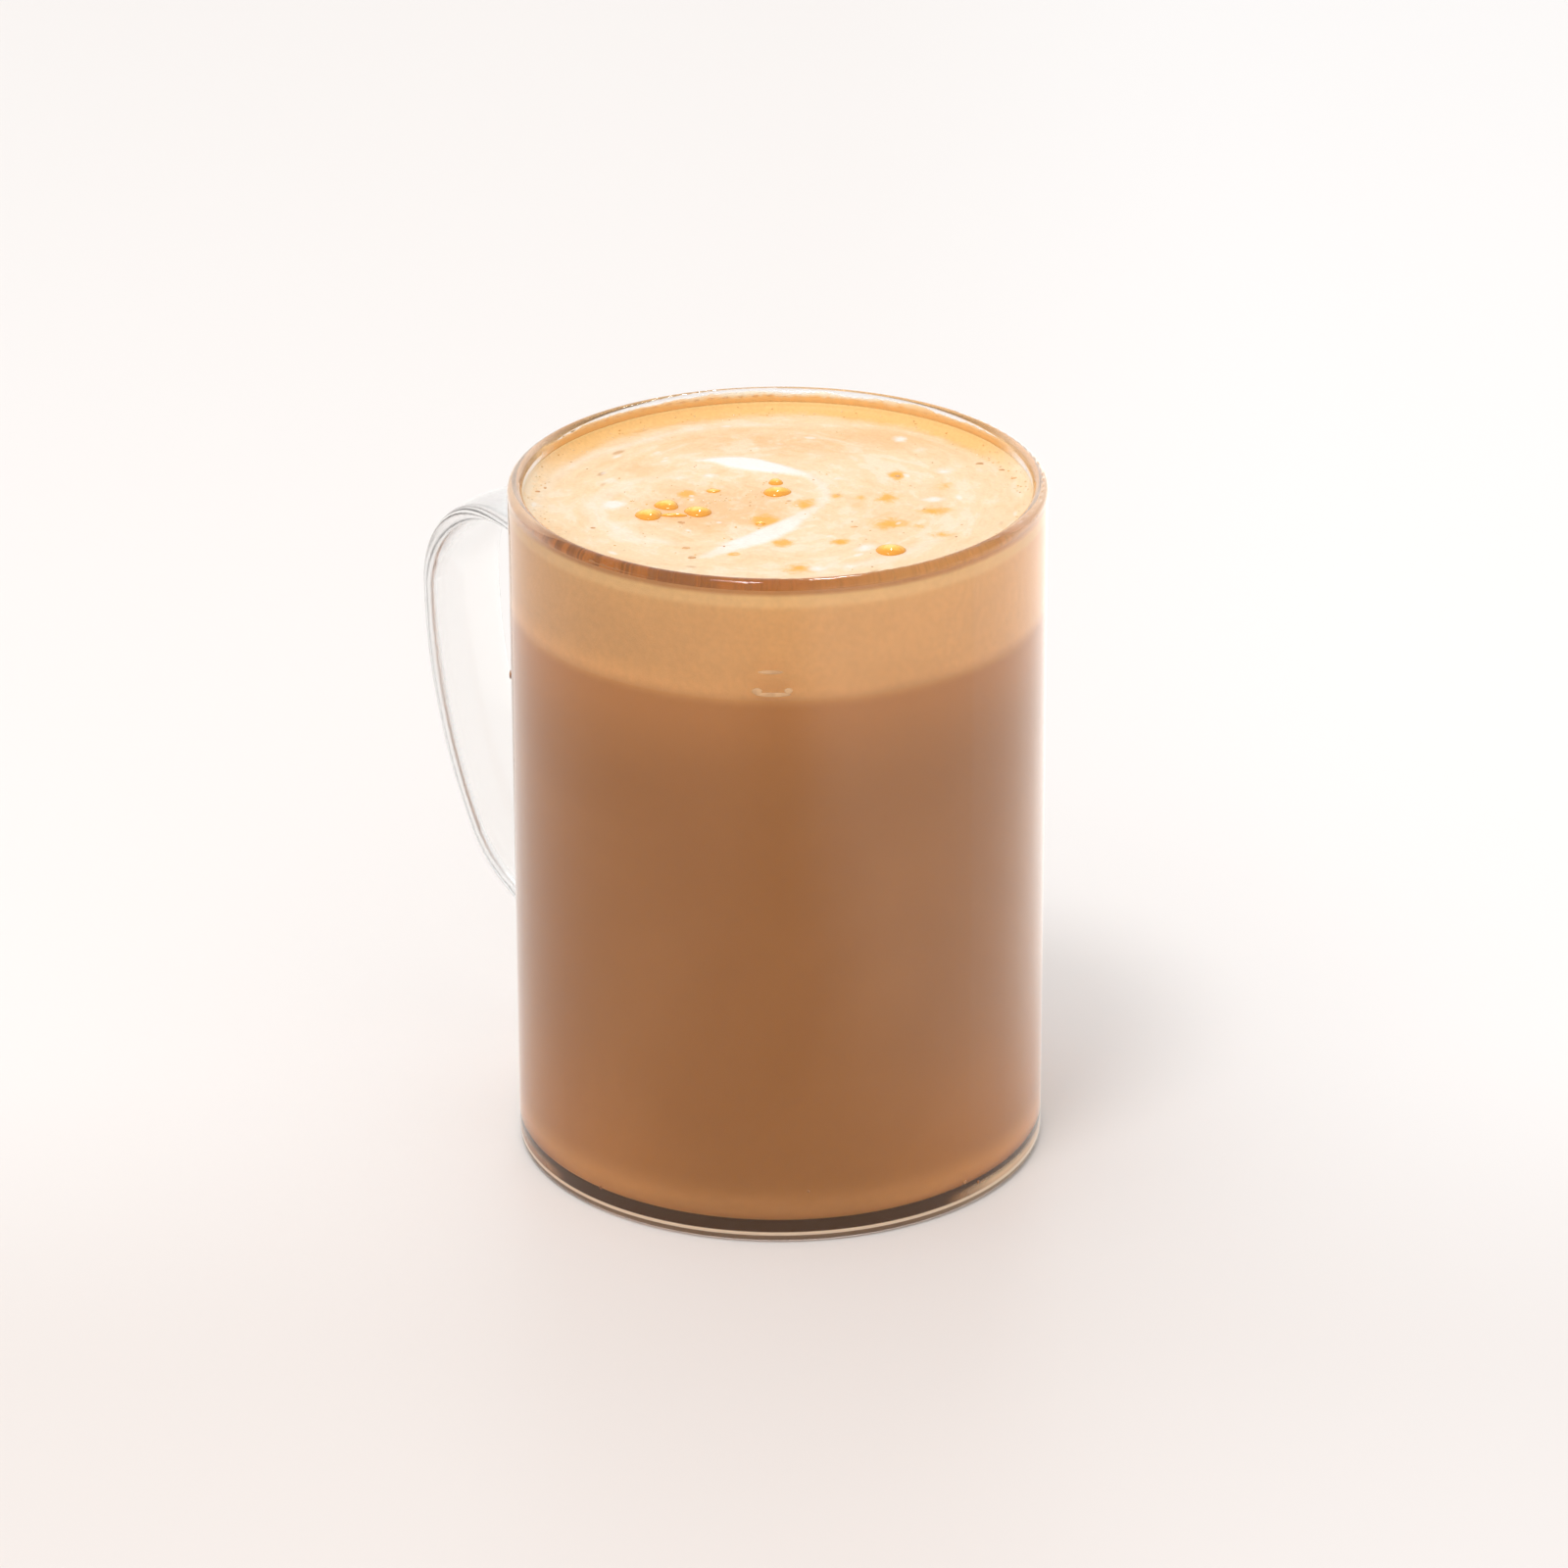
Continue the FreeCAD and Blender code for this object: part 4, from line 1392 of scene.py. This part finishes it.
@dataclass
class PaintedRimSheen:
    """The ring that carries the painted sheen, just under the outer surface of the rim."""

    sizes: MugSizes
    bury: float = 0.04 * MM
    thickness: float = 0.02 * MM
    skirt: float = 2.0 * MM
    rim_part: float = 0.75
    steps: int = 14
    around: int = 512

    def build(self) -> None:
        """Makes the ring and hands it over."""
        shell = self.sizes.rim_round - self.bury
        outline = []
        for reach in (shell, shell - self.thickness):
            foot = self.sizes.outer_radius - self.sizes.rim_round + reach
            side = [(foot, self.sizes.rim_middle[1] - self.skirt)]
            outline.append(side + arc(self.sizes.rim_middle, reach, 0.0, self.rim_part, self.steps))
        corners = outline[0] + outline[1][::-1]
        hand_over(ring("painted_rim_sheen", corners, self.around, PaintedRimSheenFinish(self.sizes).material()))


# ---------------------------------------------------------------- bubbles, specks and marks


@dataclass(frozen=True)
class BubbleFinish:
    """A coffee bubble: a glossy amber drop with a painted lit golden middle and a painted shaded near edge,
    foamy at the far one.
    """

    name: str = "amber_bubble"
    painted_lit_gold: Colour = (0.90, 0.60, 0.15)
    amber: Colour = (0.85, 0.46, 0.05)
    painted_near_shade: Colour = (0.72, 0.30, 0.02)
    foamy: Colour = (0.78, 0.54, 0.26)
    wobble: Noise = Noise(1100.0, 2.0)
    swing: float = 0.9
    amber_part: Span = (0.2, 0.55)
    painted_near_shade_part: Span = (0.62, 1.0)
    painted_near_shade_lean: float = -0.4
    foamy_part: Ease = (0.35, 0.95, 0.0, 0.85)
    roughness: float = 0.07
    specular: float = 0.6

    def material(self) -> bpy.types.Material:
        """Builds the material from the stored shares of the way to the edge and to the far side."""
        graph = Graph(self.name)
        waves = graph.noise(graph.place(), self.wobble)
        wobble = graph.math("MULTIPLY_ADD", waves, self.swing, -0.5 * self.swing)
        share = graph.math("ADD", graph.attribute("edge_share"), wobble)
        far = graph.attribute("far_share")
        # Painted light: a lighter gold middle, the look of light through the bubble.
        colour = graph.mix(graph.step(share, *self.amber_part), self.painted_lit_gold, self.amber)
        # Painted shade: darker at the near edge.
        near = graph.math("MULTIPLY_ADD", far, self.painted_near_shade_lean, share)
        colour = graph.mix(graph.step(near, *self.painted_near_shade_part), colour, self.painted_near_shade)
        foamy = graph.step(graph.math("ADD", far, wobble), *self.foamy_part)
        colour = graph.mix(foamy, colour, self.foamy)
        return graph.output(graph.surface(colour, self.roughness, self.specular))


@dataclass(frozen=True)
class GrainFinish:
    """A small solid grain, bubble or mark, varied from place to place."""

    name: str
    dark: Colour
    light: Colour
    roughness: float = 0.4
    specular: float = 0.4
    tone: Noise = Noise(700.0, 2.0, low=0.35, high=0.65)

    def material(self) -> bpy.types.Material:
        """Builds the material: two tones by a fine noise."""
        graph = Graph(self.name)
        colour = graph.mix(graph.noise(graph.place(), self.tone), self.dark, self.light)
        return graph.output(graph.surface(colour, self.roughness, self.specular))


@dataclass(kw_only=True)
class Caps:
    """Low closed caps, all of one kind, which are joined into one piece."""

    name: str
    finish: BubbleFinish | GrainFinish
    slot: Slot
    rings: int
    sink: float
    fullness: float
    around: int = 24
    inner_circle: float = 0.5

    def cap(self, rise: float) -> np.ndarray:
        """Makes a cap of radius 1 on the level z = 0.

        Args:
            rise: Its height, in metres.

        Returns:
            The corners: the pole under the surface, the circles upwards, and the upper pole.
        """
        turns = np.arange(self.rings) * (0.5 * math.pi / self.rings)
        shares = [self.inner_circle, *np.cos(turns)]
        lifts = [-self.sink, *(rise * np.sin(turns) ** self.fullness)]
        lifts[1] -= self.sink
        circles = [circle(share, lift, self.around) for share, lift in zip(shares, lifts)]
        return np.concatenate([pole(-self.sink), *circles, pole(rise)])

    def join(self, caps: list[np.ndarray]) -> bpy.types.Object:
        """Joins caps into one piece.

        Args:
            caps: The corners of each cap, in its place.

        Returns:
            The piece.
        """
        count = len(caps[0])
        faces = lathe_faces(self.rings + 1, self.around)
        joined = [[k + count * number for k in face] for number in range(len(caps)) for face in faces]
        return new_object(self.name, np.concatenate(caps), joined, self.finish.material())


@dataclass(frozen=True)
class Dome:
    """One low dome's place across and away, its two widths in millimetres, and its rise by half its width."""

    across: float
    away: float
    width: float
    depth: float
    rise: float = 0.4


@dataclass(kw_only=True)
class Domes(Caps):
    """Low domes on the foam, a little uneven round their edge."""

    foam: FoamCap
    domes: tuple[Dome, ...]
    slot: Slot = Slot.FOAM
    rings: int = 7
    sink: float = 0.08 * MM
    fullness: float = 1.35
    uneven: float = 0.06

    def dome(self, dome: Dome) -> tuple[np.ndarray, np.ndarray, np.ndarray]:
        """Makes one dome.

        Args:
            dome: The dome.

        Returns:
            The corners, and each corner's share of the way to the edge and to the far side.
        """
        local = self.cap(dome.rise * 0.5 * dome.width * MM)
        edge = np.hypot(local[:, 0], local[:, 1])
        angles = turns_round(self.around)
        phase = dome.across + 2.3 * dome.away
        wave = 1.0 + self.uneven * (np.sin(2 * angles + phase) + np.sin(3 * angles - 1.7 * phase))
        local[1:-1, :2] *= np.tile(wave, self.rings + 1)[:, None]
        right = dome.across + local[:, 0] * 0.5 * dome.width
        back = dome.away + local[:, 1] * 0.5 * dome.depth
        x, y = to_part(right * MM, back * MM)
        ground = self.foam.top_height(x[:1], y[:1])
        return np.stack([x, y, local[:, 2] + ground], 1), edge, local[:, 1]

    def build(self) -> None:
        """Makes all the domes as one piece and hands it over."""
        corners, edges, fars = zip(*(self.dome(dome) for dome in self.domes))
        piece = self.join(list(corners))
        set_numbers(piece, "edge_share", np.concatenate(edges))
        set_numbers(piece, "far_share", np.concatenate(fars))
        hand_over(piece)


@dataclass(frozen=True)
class Mark:
    """One flat drip or speck on the outer wall.

    Its turn round the mug is in degrees. Its height, its width, its length up the wall and its rise are in
    millimetres.
    """

    turn: float
    height: float
    width: float
    length: float
    rise: float


@dataclass(kw_only=True)
class WallMarks(Caps):
    """Low caps on the outer wall."""

    sizes: MugSizes
    marks: tuple[Mark, ...]
    rings: int = 6
    sink: float = 0.05 * MM
    fullness: float = 1.0

    def mark(self, mark: Mark) -> np.ndarray:
        """Makes one mark, bent round the wall.

        Args:
            mark: The mark.

        Returns:
            The corners.
        """
        local = self.cap(mark.rise * MM)
        radius = self.sizes.outer_radius + local[:, 2]
        turns = math.radians(mark.turn) + local[:, 0] * 0.5 * mark.width * MM / self.sizes.outer_radius
        heights = (mark.height + local[:, 1] * 0.5 * mark.length) * MM
        return np.stack([radius * np.cos(turns), radius * np.sin(turns), heights], 1)

    def build(self) -> None:
        """Makes all the marks as one piece and hands it over."""
        hand_over(self.join([self.mark(mark) for mark in self.marks]))


BUBBLES = (
    Dome(-19.0, -6.0, 4.2, 3.8), Dome(-15.4, -6.1, 4.0, 0.9, 0.2), Dome(-16.4, -2.1, 3.8, 3.4),
    Dome(-11.8, -4.6, 4.0, 3.7), Dome(-9.6, 4.0, 2.2, 1.5, 0.2), Dome(-0.3, 7.4, 2.3, 2.4, 0.45),
    Dome(-0.1, 3.2, 4.0, 3.5), Dome(16.4, -20.1, 4.2, 4.0), Dome(30.1, 24.4, 2.0, 1.8),
    Dome(-2.6, -9.0, 1.5, 1.3),
)

SPECKS = (
    Dome(-35.7, 4.0, 0.9, 0.5, 0.3), Dome(-34.6, 5.6, 0.5, 0.8, 0.3), Dome(-27.1, -10.6, 0.8, 0.5, 0.3),
    Dome(-13.4, -18.5, 1.2, 0.7, 0.3), Dome(-12.5, -22.3, 1.3, 0.9, 0.3), Dome(-14.2, -8.6, 1.1, 0.6, 0.3),
    Dome(30.3, 14.6, 1.2, 0.4, 0.3), Dome(33.5, 12.1, 1.0, 0.4, 0.3), Dome(35.3, 8.5, 1.2, 0.4, 0.3),
    Dome(17.9, 9.8, 0.8, 0.8, 0.4), Dome(9.0, 2.2, 0.5, 0.5, 0.4), Dome(-2.6, -9.4, 0.8, 0.7, 0.4),
    Dome(-6.8, -15.2, 0.5, 0.4, 0.3), Dome(11.2, -10.4, 1.1, 0.4, 0.3),
)

PALE_MARKS = (
    Mark(-46.1, 88.5, 5.2, 0.7, 0.05), Mark(-49.4, 89.0, 1.5, 1.0, 0.05),
    Mark(-42.9, 89.1, 1.2, 0.9, 0.05), Mark(-46.6, 92.0, 3.6, 0.6, 0.04),
)

BROWN_MARKS = (
    Mark(-134.0, 75.2, 0.8, 1.5, 0.25), Mark(-87.3, 3.9, 0.5, 0.6, 0.12), Mark(-39.0, 8.4, 0.4, 0.4, 0.1),
    Mark(-1.1, 4.2, 0.9, 0.6, 0.12), Mark(3.0, 3.2, 0.5, 0.5, 0.12),
)


# ---------------------------------------------------------------- strewn grains


@dataclass(frozen=True)
class Strewing:
    """Geometry Nodes that strew small grains over the foam.

    The last four numbers say how many lie where: on plain foam, towards the wall and in the amber field.
    """

    name: str
    finish: GrainFinish
    density: float
    smallest: float
    largest: float
    flatness: float
    seed: int
    plain: float
    edge_gain: float
    edge_power: int
    amber_gain: float
    longest: Span = (0.55, 1.0)
    tilt: float = 0.2
    most: float = 2.0

    def weigh(self, edge: np.ndarray, amber: np.ndarray, milk: np.ndarray) -> np.ndarray:
        """How thickly the grains lie at each corner.

        Args:
            edge: How near the wall each corner is, from 0 to 1.
            amber: How deep it lies in the amber field.
            milk: How much of the swirl covers it, which keeps the grains off.

        Returns:
            The weights, by which the density is multiplied.
        """
        weight = self.plain + self.edge_gain * edge**self.edge_power + self.amber_gain * amber
        return np.clip(weight, 0.0, self.most) * (1 - milk)

    def random(self, tree: Tree, low: object, high: object, seed: Socket, kind: str = "FLOAT") -> Socket:
        """Adds a random value.

        Args:
            tree: The tree.
            low: The least that it can be.
            high: The most that it can be.
            seed: The seed that it is drawn with.
            kind: "FLOAT" for a number or "FLOAT_VECTOR" for three.

        Returns:
            The value.
        """
        first, output = (2, 1) if kind == "FLOAT" else (0, 0)
        inputs = {first: low, first + 1: high, "Seed": seed}
        return tree.node("FunctionNodeRandomValue", {"data_type": kind}, inputs).outputs[output]

    def tree(self) -> bpy.types.GeometryNodeTree:
        """Builds the tree: points by weight, a small ball on each, sized and turned at random."""
        tree = Tree(bpy.data.node_groups.new(self.name, "GeometryNodeTree"))
        face = tree.tree.interface
        sizes = dict.fromkeys(("Density", "Smallest", "Largest", "Flatness"), "Float")
        for label, kind in {"Geometry": "Geometry", **sizes, "Seed": "Int", "Finish": "Material"}.items():
            face.new_socket(label, in_out="INPUT", socket_type="NodeSocket" + kind)
        face.new_socket("Geometry", in_out="OUTPUT", socket_type="NodeSocketGeometry")
        source = tree.node("NodeGroupInput").outputs
        seed = source["Seed"]
        stored = {"Name": self.name + "_weight"}
        weight = tree.node("GeometryNodeInputNamedAttribute", {"data_type": "FLOAT"}, stored)
        factors = {0: source["Density"], 1: weight.outputs["Attribute"]}
        density = tree.node("ShaderNodeMath", {"operation": "MULTIPLY"}, factors)
        spread = {"Mesh": source["Geometry"], "Density": density.outputs[0], "Seed": seed}
        points = tree.node("GeometryNodeDistributePointsOnFaces", None, spread)
        ball = tree.node("GeometryNodeMeshIcoSphere", None, {"Radius": 0.5, "Subdivisions": 2})
        size = self.random(tree, source["Smallest"], source["Largest"], seed)
        length = self.random(tree, *self.longest, seed)
        sides = {"X": 1.0, "Y": length, "Z": source["Flatness"]}
        shape = tree.node("ShaderNodeCombineXYZ", None, sides).outputs[0]
        scale = tree.node("ShaderNodeVectorMath", {"operation": "SCALE"}, {0: shape, "Scale": size})
        most = (self.tilt, self.tilt, 2 * math.pi)
        turn = self.random(tree, (0.0, 0.0, 0.0), most, seed, "FLOAT_VECTOR")
        laid = {"Points": points.outputs["Points"], "Instance": ball.outputs["Mesh"]}
        laid |= {"Rotation": turn, "Scale": scale.outputs[0]}
        grains = tree.node("GeometryNodeInstanceOnPoints", None, laid)
        real = tree.node("GeometryNodeRealizeInstances", None, {0: grains.outputs[0]})
        smooth = tree.node("GeometryNodeSetShadeSmooth", None, {"Geometry": real.outputs[0]})
        dressed = {"Geometry": smooth.outputs[0], "Material": source["Finish"]}
        dress = tree.node("GeometryNodeSetMaterial", None, dressed)
        tree.node("NodeGroupOutput", None, {0: dress.outputs[0]})
        return tree.tree

    def strew(self, surface: bpy.types.Object) -> None:
        """Strews the grains over a surface, makes them one plain mesh and hands it over.

        Args:
            surface: The mesh object that they lie on, with the weights stored on its corners.
        """
        tree = self.tree()
        values = {
            "Density": self.density,
            "Smallest": self.smallest,
            "Largest": self.largest,
            "Flatness": self.flatness,
            "Seed": self.seed,
            "Finish": self.finish.material(),
        }
        modifier = surface.modifiers.new(self.name, "NODES")
        modifier.node_group = tree
        for socket in tree.interface.items_tree:
            if socket.in_out == "INPUT" and socket.name in values:
                modifier[socket.identifier] = values[socket.name]
        view = bpy.context.evaluated_depsgraph_get()
        mesh = bpy.data.meshes.new_from_object(surface.evaluated_get(view), depsgraph=view)
        surface.modifiers.remove(modifier)
        mesh.name = self.name
        hand_over(placed(self.name, mesh))


COCOA = Strewing(
    name="cocoa_specks",
    finish=GrainFinish("cocoa_speck", (0.46, 0.22, 0.09), (0.66, 0.40, 0.20), 0.6, 0.2),
    density=32000.0,
    smallest=0.12 * MM,
    largest=0.42 * MM,
    flatness=0.16,
    seed=7,
    plain=0.35,
    edge_gain=0.9,
    edge_power=1,
    amber_gain=1.1,
)

FROTH = Strewing(
    name="fine_bubbles",
    finish=GrainFinish("fine_bubble", (0.68, 0.38, 0.12), (0.74, 0.60, 0.40), 0.15, 0.5),
    density=240000.0,
    smallest=0.12 * MM,
    largest=0.42 * MM,
    flatness=0.5,
    seed=11,
    plain=0.05,
    edge_gain=1.5,
    edge_power=2,
    amber_gain=0.9,
)


@dataclass
class Grains:
    """The smallest things on the foam: cocoa specks and tiny bubbles."""

    sizes: MugSizes
    foam: FoamCap
    kinds: tuple[Strewing, ...] = (COCOA, FROTH)
    rings: int = 60
    around: int = 180
    wall_gap: float = 0.25 * MM
    milk_edge: float = 0.6
    edge_start: float = 32.0
    edge_reach: float = 5.0

    def surface(self) -> bpy.types.Object:
        """Makes a plain copy of the foam's top that carries the weights."""
        share = np.arange(1, self.rings + 1) / self.rings
        reach = self.sizes.bore - self.wall_gap
        grid_r, grid_a = np.meshgrid(share * reach, turns_round(self.around), indexing="ij")
        x, y = (grid_r * np.cos(grid_a)).ravel(), (grid_r * np.sin(grid_a)).ravel()
        points = np.stack([x, y, self.foam.top_height(x, y)], 1)
        faces = []
        for low in range(0, (self.rings - 1) * self.around, self.around):
            faces += band_faces(low, low + self.around, self.around)
        sheet = new_object("foam_top_guide", points, [face[:1] + face[:0:-1] for face in faces])
        across, away = to_view(x / MM, y / MM)
        depth, strength = self.foam.pattern.swirl.reach(across, away)
        milk = np.clip(self.milk_edge + depth, 0.0, 1.0) * strength
        amber = self.foam.pattern.amber[0].cover(across, away)
        edge = np.clip((np.hypot(across, away) - self.edge_start) / self.edge_reach, 0.0, 1.0)
        for kind in self.kinds:
            set_numbers(sheet, kind.name + "_weight", kind.weigh(edge, amber, milk))
        return sheet

    def build(self) -> None:
        """Strews each kind and removes the guide."""
        sheet = self.surface()
        for kind in self.kinds:
            kind.strew(sheet)
        bpy.data.objects.remove(sheet)


# ---------------------------------------------------------------- studio


@dataclass(frozen=True)
class Lamp:
    """A soft lamp, whose light never reaches the drink through the glass.

    Without lights_matt it only shows as glints on wet and polished things.
    """

    name: str
    shape: LampShape
    width: float
    depth: float
    power: float
    place: Place
    colour: Colour = (1.0, 1.0, 1.0)
    lights_matt: bool = True

    def hang(self, aim: Vector) -> None:
        """Hangs the lamp at its place.

        Args:
            aim: The point that it shines at.
        """
        light = bpy.data.lights.new(self.name, "AREA")
        light.shape = self.shape.value
        light.size = self.width
        light.size_y = self.depth
        light.energy = self.power
        light.color = self.colour
        holder = placed(self.name, light)
        point = Vector(self.place)
        turn = (point - aim).to_track_quat("Z", "Y").to_matrix().to_4x4()
        holder.matrix_world = Matrix.Translation(point) @ turn
        holder.visible_diffuse = self.lights_matt
        holder.visible_transmission = False


@dataclass
class Studio:
    """A pale floor with painted light and shade, soft lamps and the camera.

    A lean says how much a light grows to the viewer's right and away from the viewer.
    """

    sizes: MugSizes
    floor_reach: float = 3.0
    floor_gap: float = 0.1 * MM
    floor_near_painted_shade: Colour = (0.705, 0.662, 0.642)
    floor_far: Colour = (0.797, 0.773, 0.763)
    floor_right_painted_light: Colour = (1.035, 1.055, 1.07)
    floor_painted_shade_fade: Span = (-0.085, 0.035)
    floor_roughness: float = 0.4
    floor_specular: float = 0.25
    painted_glow: Colour = (0.965, 0.92, 0.86)
    painted_glow_reach: float = 0.11
    painted_right_glow: float = 0.85
    painted_left_glow: float = 0.25
    room: Colour = (1.0, 0.985, 0.97)
    seen_level: float = 1.0
    fill: float = 1.1
    fill_lean: Span = (-0.3, -0.32)
    through: float = 1.4
    through_lean: Span = (0.48, 0.85)
    lamps: tuple[Lamp, ...] = (
        Lamp("key", LampShape.DISK, 0.24, 0.24, 2.9, (0.11, -0.37, 1.05), (1.0, 0.985, 0.965)),
        Lamp("glint", LampShape.RECTANGLE, 0.05, 0.28, 1.7, (-0.3, 0.42, 0.95), lights_matt=False),
    )
    camera_place: Place = (0.68857, -0.68748, 0.48621)
    camera_tilt: float = math.radians(90.0 - 23.81)
    camera_roll: float = -0.0037
    lens: float = 162.1
    film: float = 36.0

    def floor_material(self) -> bpy.types.Material:
        """A pale half-matt top with painted shade towards the viewer and painted light to the right, and a
        painted glow that only reflections see, brighter at the two sides.
        """
        graph = Graph("pale_floor")
        across, away, _ = graph.seen_from_front(graph.place())
        # Painted shade: darker and pinker towards the viewer, in front of the mug.
        tint = graph.mix(graph.step(away, *self.floor_painted_shade_fade), self.floor_near_painted_shade, self.floor_far)
        # Painted light: brighter to the viewer's right.
        tint = graph.mix(graph.step(across, 0.0, self.painted_glow_reach), tint, self.floor_right_painted_light, "MULTIPLY")
        matt = graph.surface(tint, self.floor_roughness, self.floor_specular)
        light = graph.add("LightPath").outputs
        # Painted glow that only reflections see, brighter to the right than to the left.
        glossy = graph.math("SUBTRACT", light["Is Glossy Ray"], light["Is Transmission Ray"])
        mirrored = graph.times(graph.math("MAXIMUM", glossy, 0.0), graph.looks()[0])
        right = graph.step(across, 0.0, self.painted_glow_reach, 0.0, self.painted_right_glow)
        left = graph.step(across, 0.0, -self.painted_glow_reach, 0.0, self.painted_left_glow)
        strength = graph.times(mirrored, graph.math("ADD", right, left))
        painted_glow = graph.add("Emission", Color=self.painted_glow, Strength=strength).outputs[0]
        return graph.output(graph.node("ShaderNodeAddShader", None, {0: matt, 1: painted_glow}).outputs[0])

    def floor(self) -> None:
        """Lays the floor just under the mug."""
        reach = self.floor_reach
        corners = [(-reach, -reach), (reach, -reach), (reach, reach), (-reach, reach)]
        points = np.array([[x, y, -self.floor_gap] for x, y in corners])
        new_object("floor", points, [[0, 1, 2, 3]], self.floor_material())

    def leaning(self, graph: Graph, towards: list[Socket], level: float, lean: Span) -> Socket:
        """A level of light that leans.

        Args:
            graph: The world's tree.
            towards: The direction's parts across, away and up.
            level: The level in the middle.
            lean: How much it grows across and away.

        Returns:
            The level in each direction.
        """
        right = graph.math("MULTIPLY_ADD", towards[0], lean[0], level)
        return graph.math("MULTIPLY_ADD", towards[1], lean[1], right)

    def world(self) -> None:
        """Sets a soft light from all round, which shows white behind and in the glass.

        Light that reaches the drink through the glass has a strength and a lean of its own.
        """
        graph = Graph("soft_room", world=True)
        towards = graph.seen_from_front(graph.add("TexCoord").outputs["Generated"])
        seen, through = graph.looks()
        direct = self.leaning(graph, towards, self.fill, self.fill_lean)
        behind_glass = self.leaning(graph, towards, self.through, self.through_lean)
        level = graph.choose(seen, graph.choose(through, direct, behind_glass), self.seen_level)
        background = graph.add("Background", Color=self.room, Strength=level)
        bpy.context.scene.world = graph.output(background.outputs[0])

    def camera(self) -> None:
        """Sets the camera up."""
        camera = bpy.data.cameras.new("camera")
        camera.lens = self.lens
        camera.sensor_width = self.film
        holder = placed("camera", camera)
        turn = Matrix.Rotation(VIEW_TURN, 4, "Z") @ Matrix.Rotation(self.camera_tilt, 4, "X")
        roll = Matrix.Rotation(self.camera_roll, 4, "Z")
        holder.matrix_world = Matrix.Translation(Vector(self.camera_place)) @ turn @ roll
        bpy.context.scene.camera = holder

    def build(self) -> None:
        """Sets up the whole studio."""
        bpy.context.scene.view_settings.view_transform = "Standard"
        self.floor()
        self.world()
        for lamp in self.lamps:
            lamp.hang(Vector((0.0, 0.0, 0.5 * self.sizes.rim_height)))
        self.camera()


def main() -> None:
    """Builds the mug, the drink, the foam, what lies on them, and the studio, in that order."""
    logging.basicConfig(level=logging.INFO, format="%(name)s: %(message)s")
    sizes = MugSizes.from_frame()
    foam = FoamCap(sizes)
    MugGlass().build()
    PaintedFootLight(sizes).build()
    MochaFill(sizes).build()
    foam.build()
    WallFilm(sizes).build()
    PaintedRimSheen(sizes).build()
    Domes(name="amber_bubbles", foam=foam, domes=BUBBLES, finish=BubbleFinish()).build()
    cocoa = GrainFinish("large_speck", (0.50, 0.25, 0.10), (0.68, 0.40, 0.19))
    Domes(name="large_specks", foam=foam, domes=SPECKS, finish=cocoa).build()
    Grains(sizes, foam).build()
    pale = GrainFinish("pale_mark", (0.46, 0.26, 0.125), (0.56, 0.33, 0.165))
    WallMarks(name="pale_marks", sizes=sizes, marks=PALE_MARKS, finish=pale, slot=Slot.FOAM).build()
    brown = GrainFinish("brown_mark", (0.20, 0.08, 0.03), (0.36, 0.17, 0.07))
    WallMarks(name="brown_marks", sizes=sizes, marks=BROWN_MARKS, finish=brown, slot=Slot.MOCHA).build()
    Studio(sizes).build()


if __name__ == "__main__":
    main()
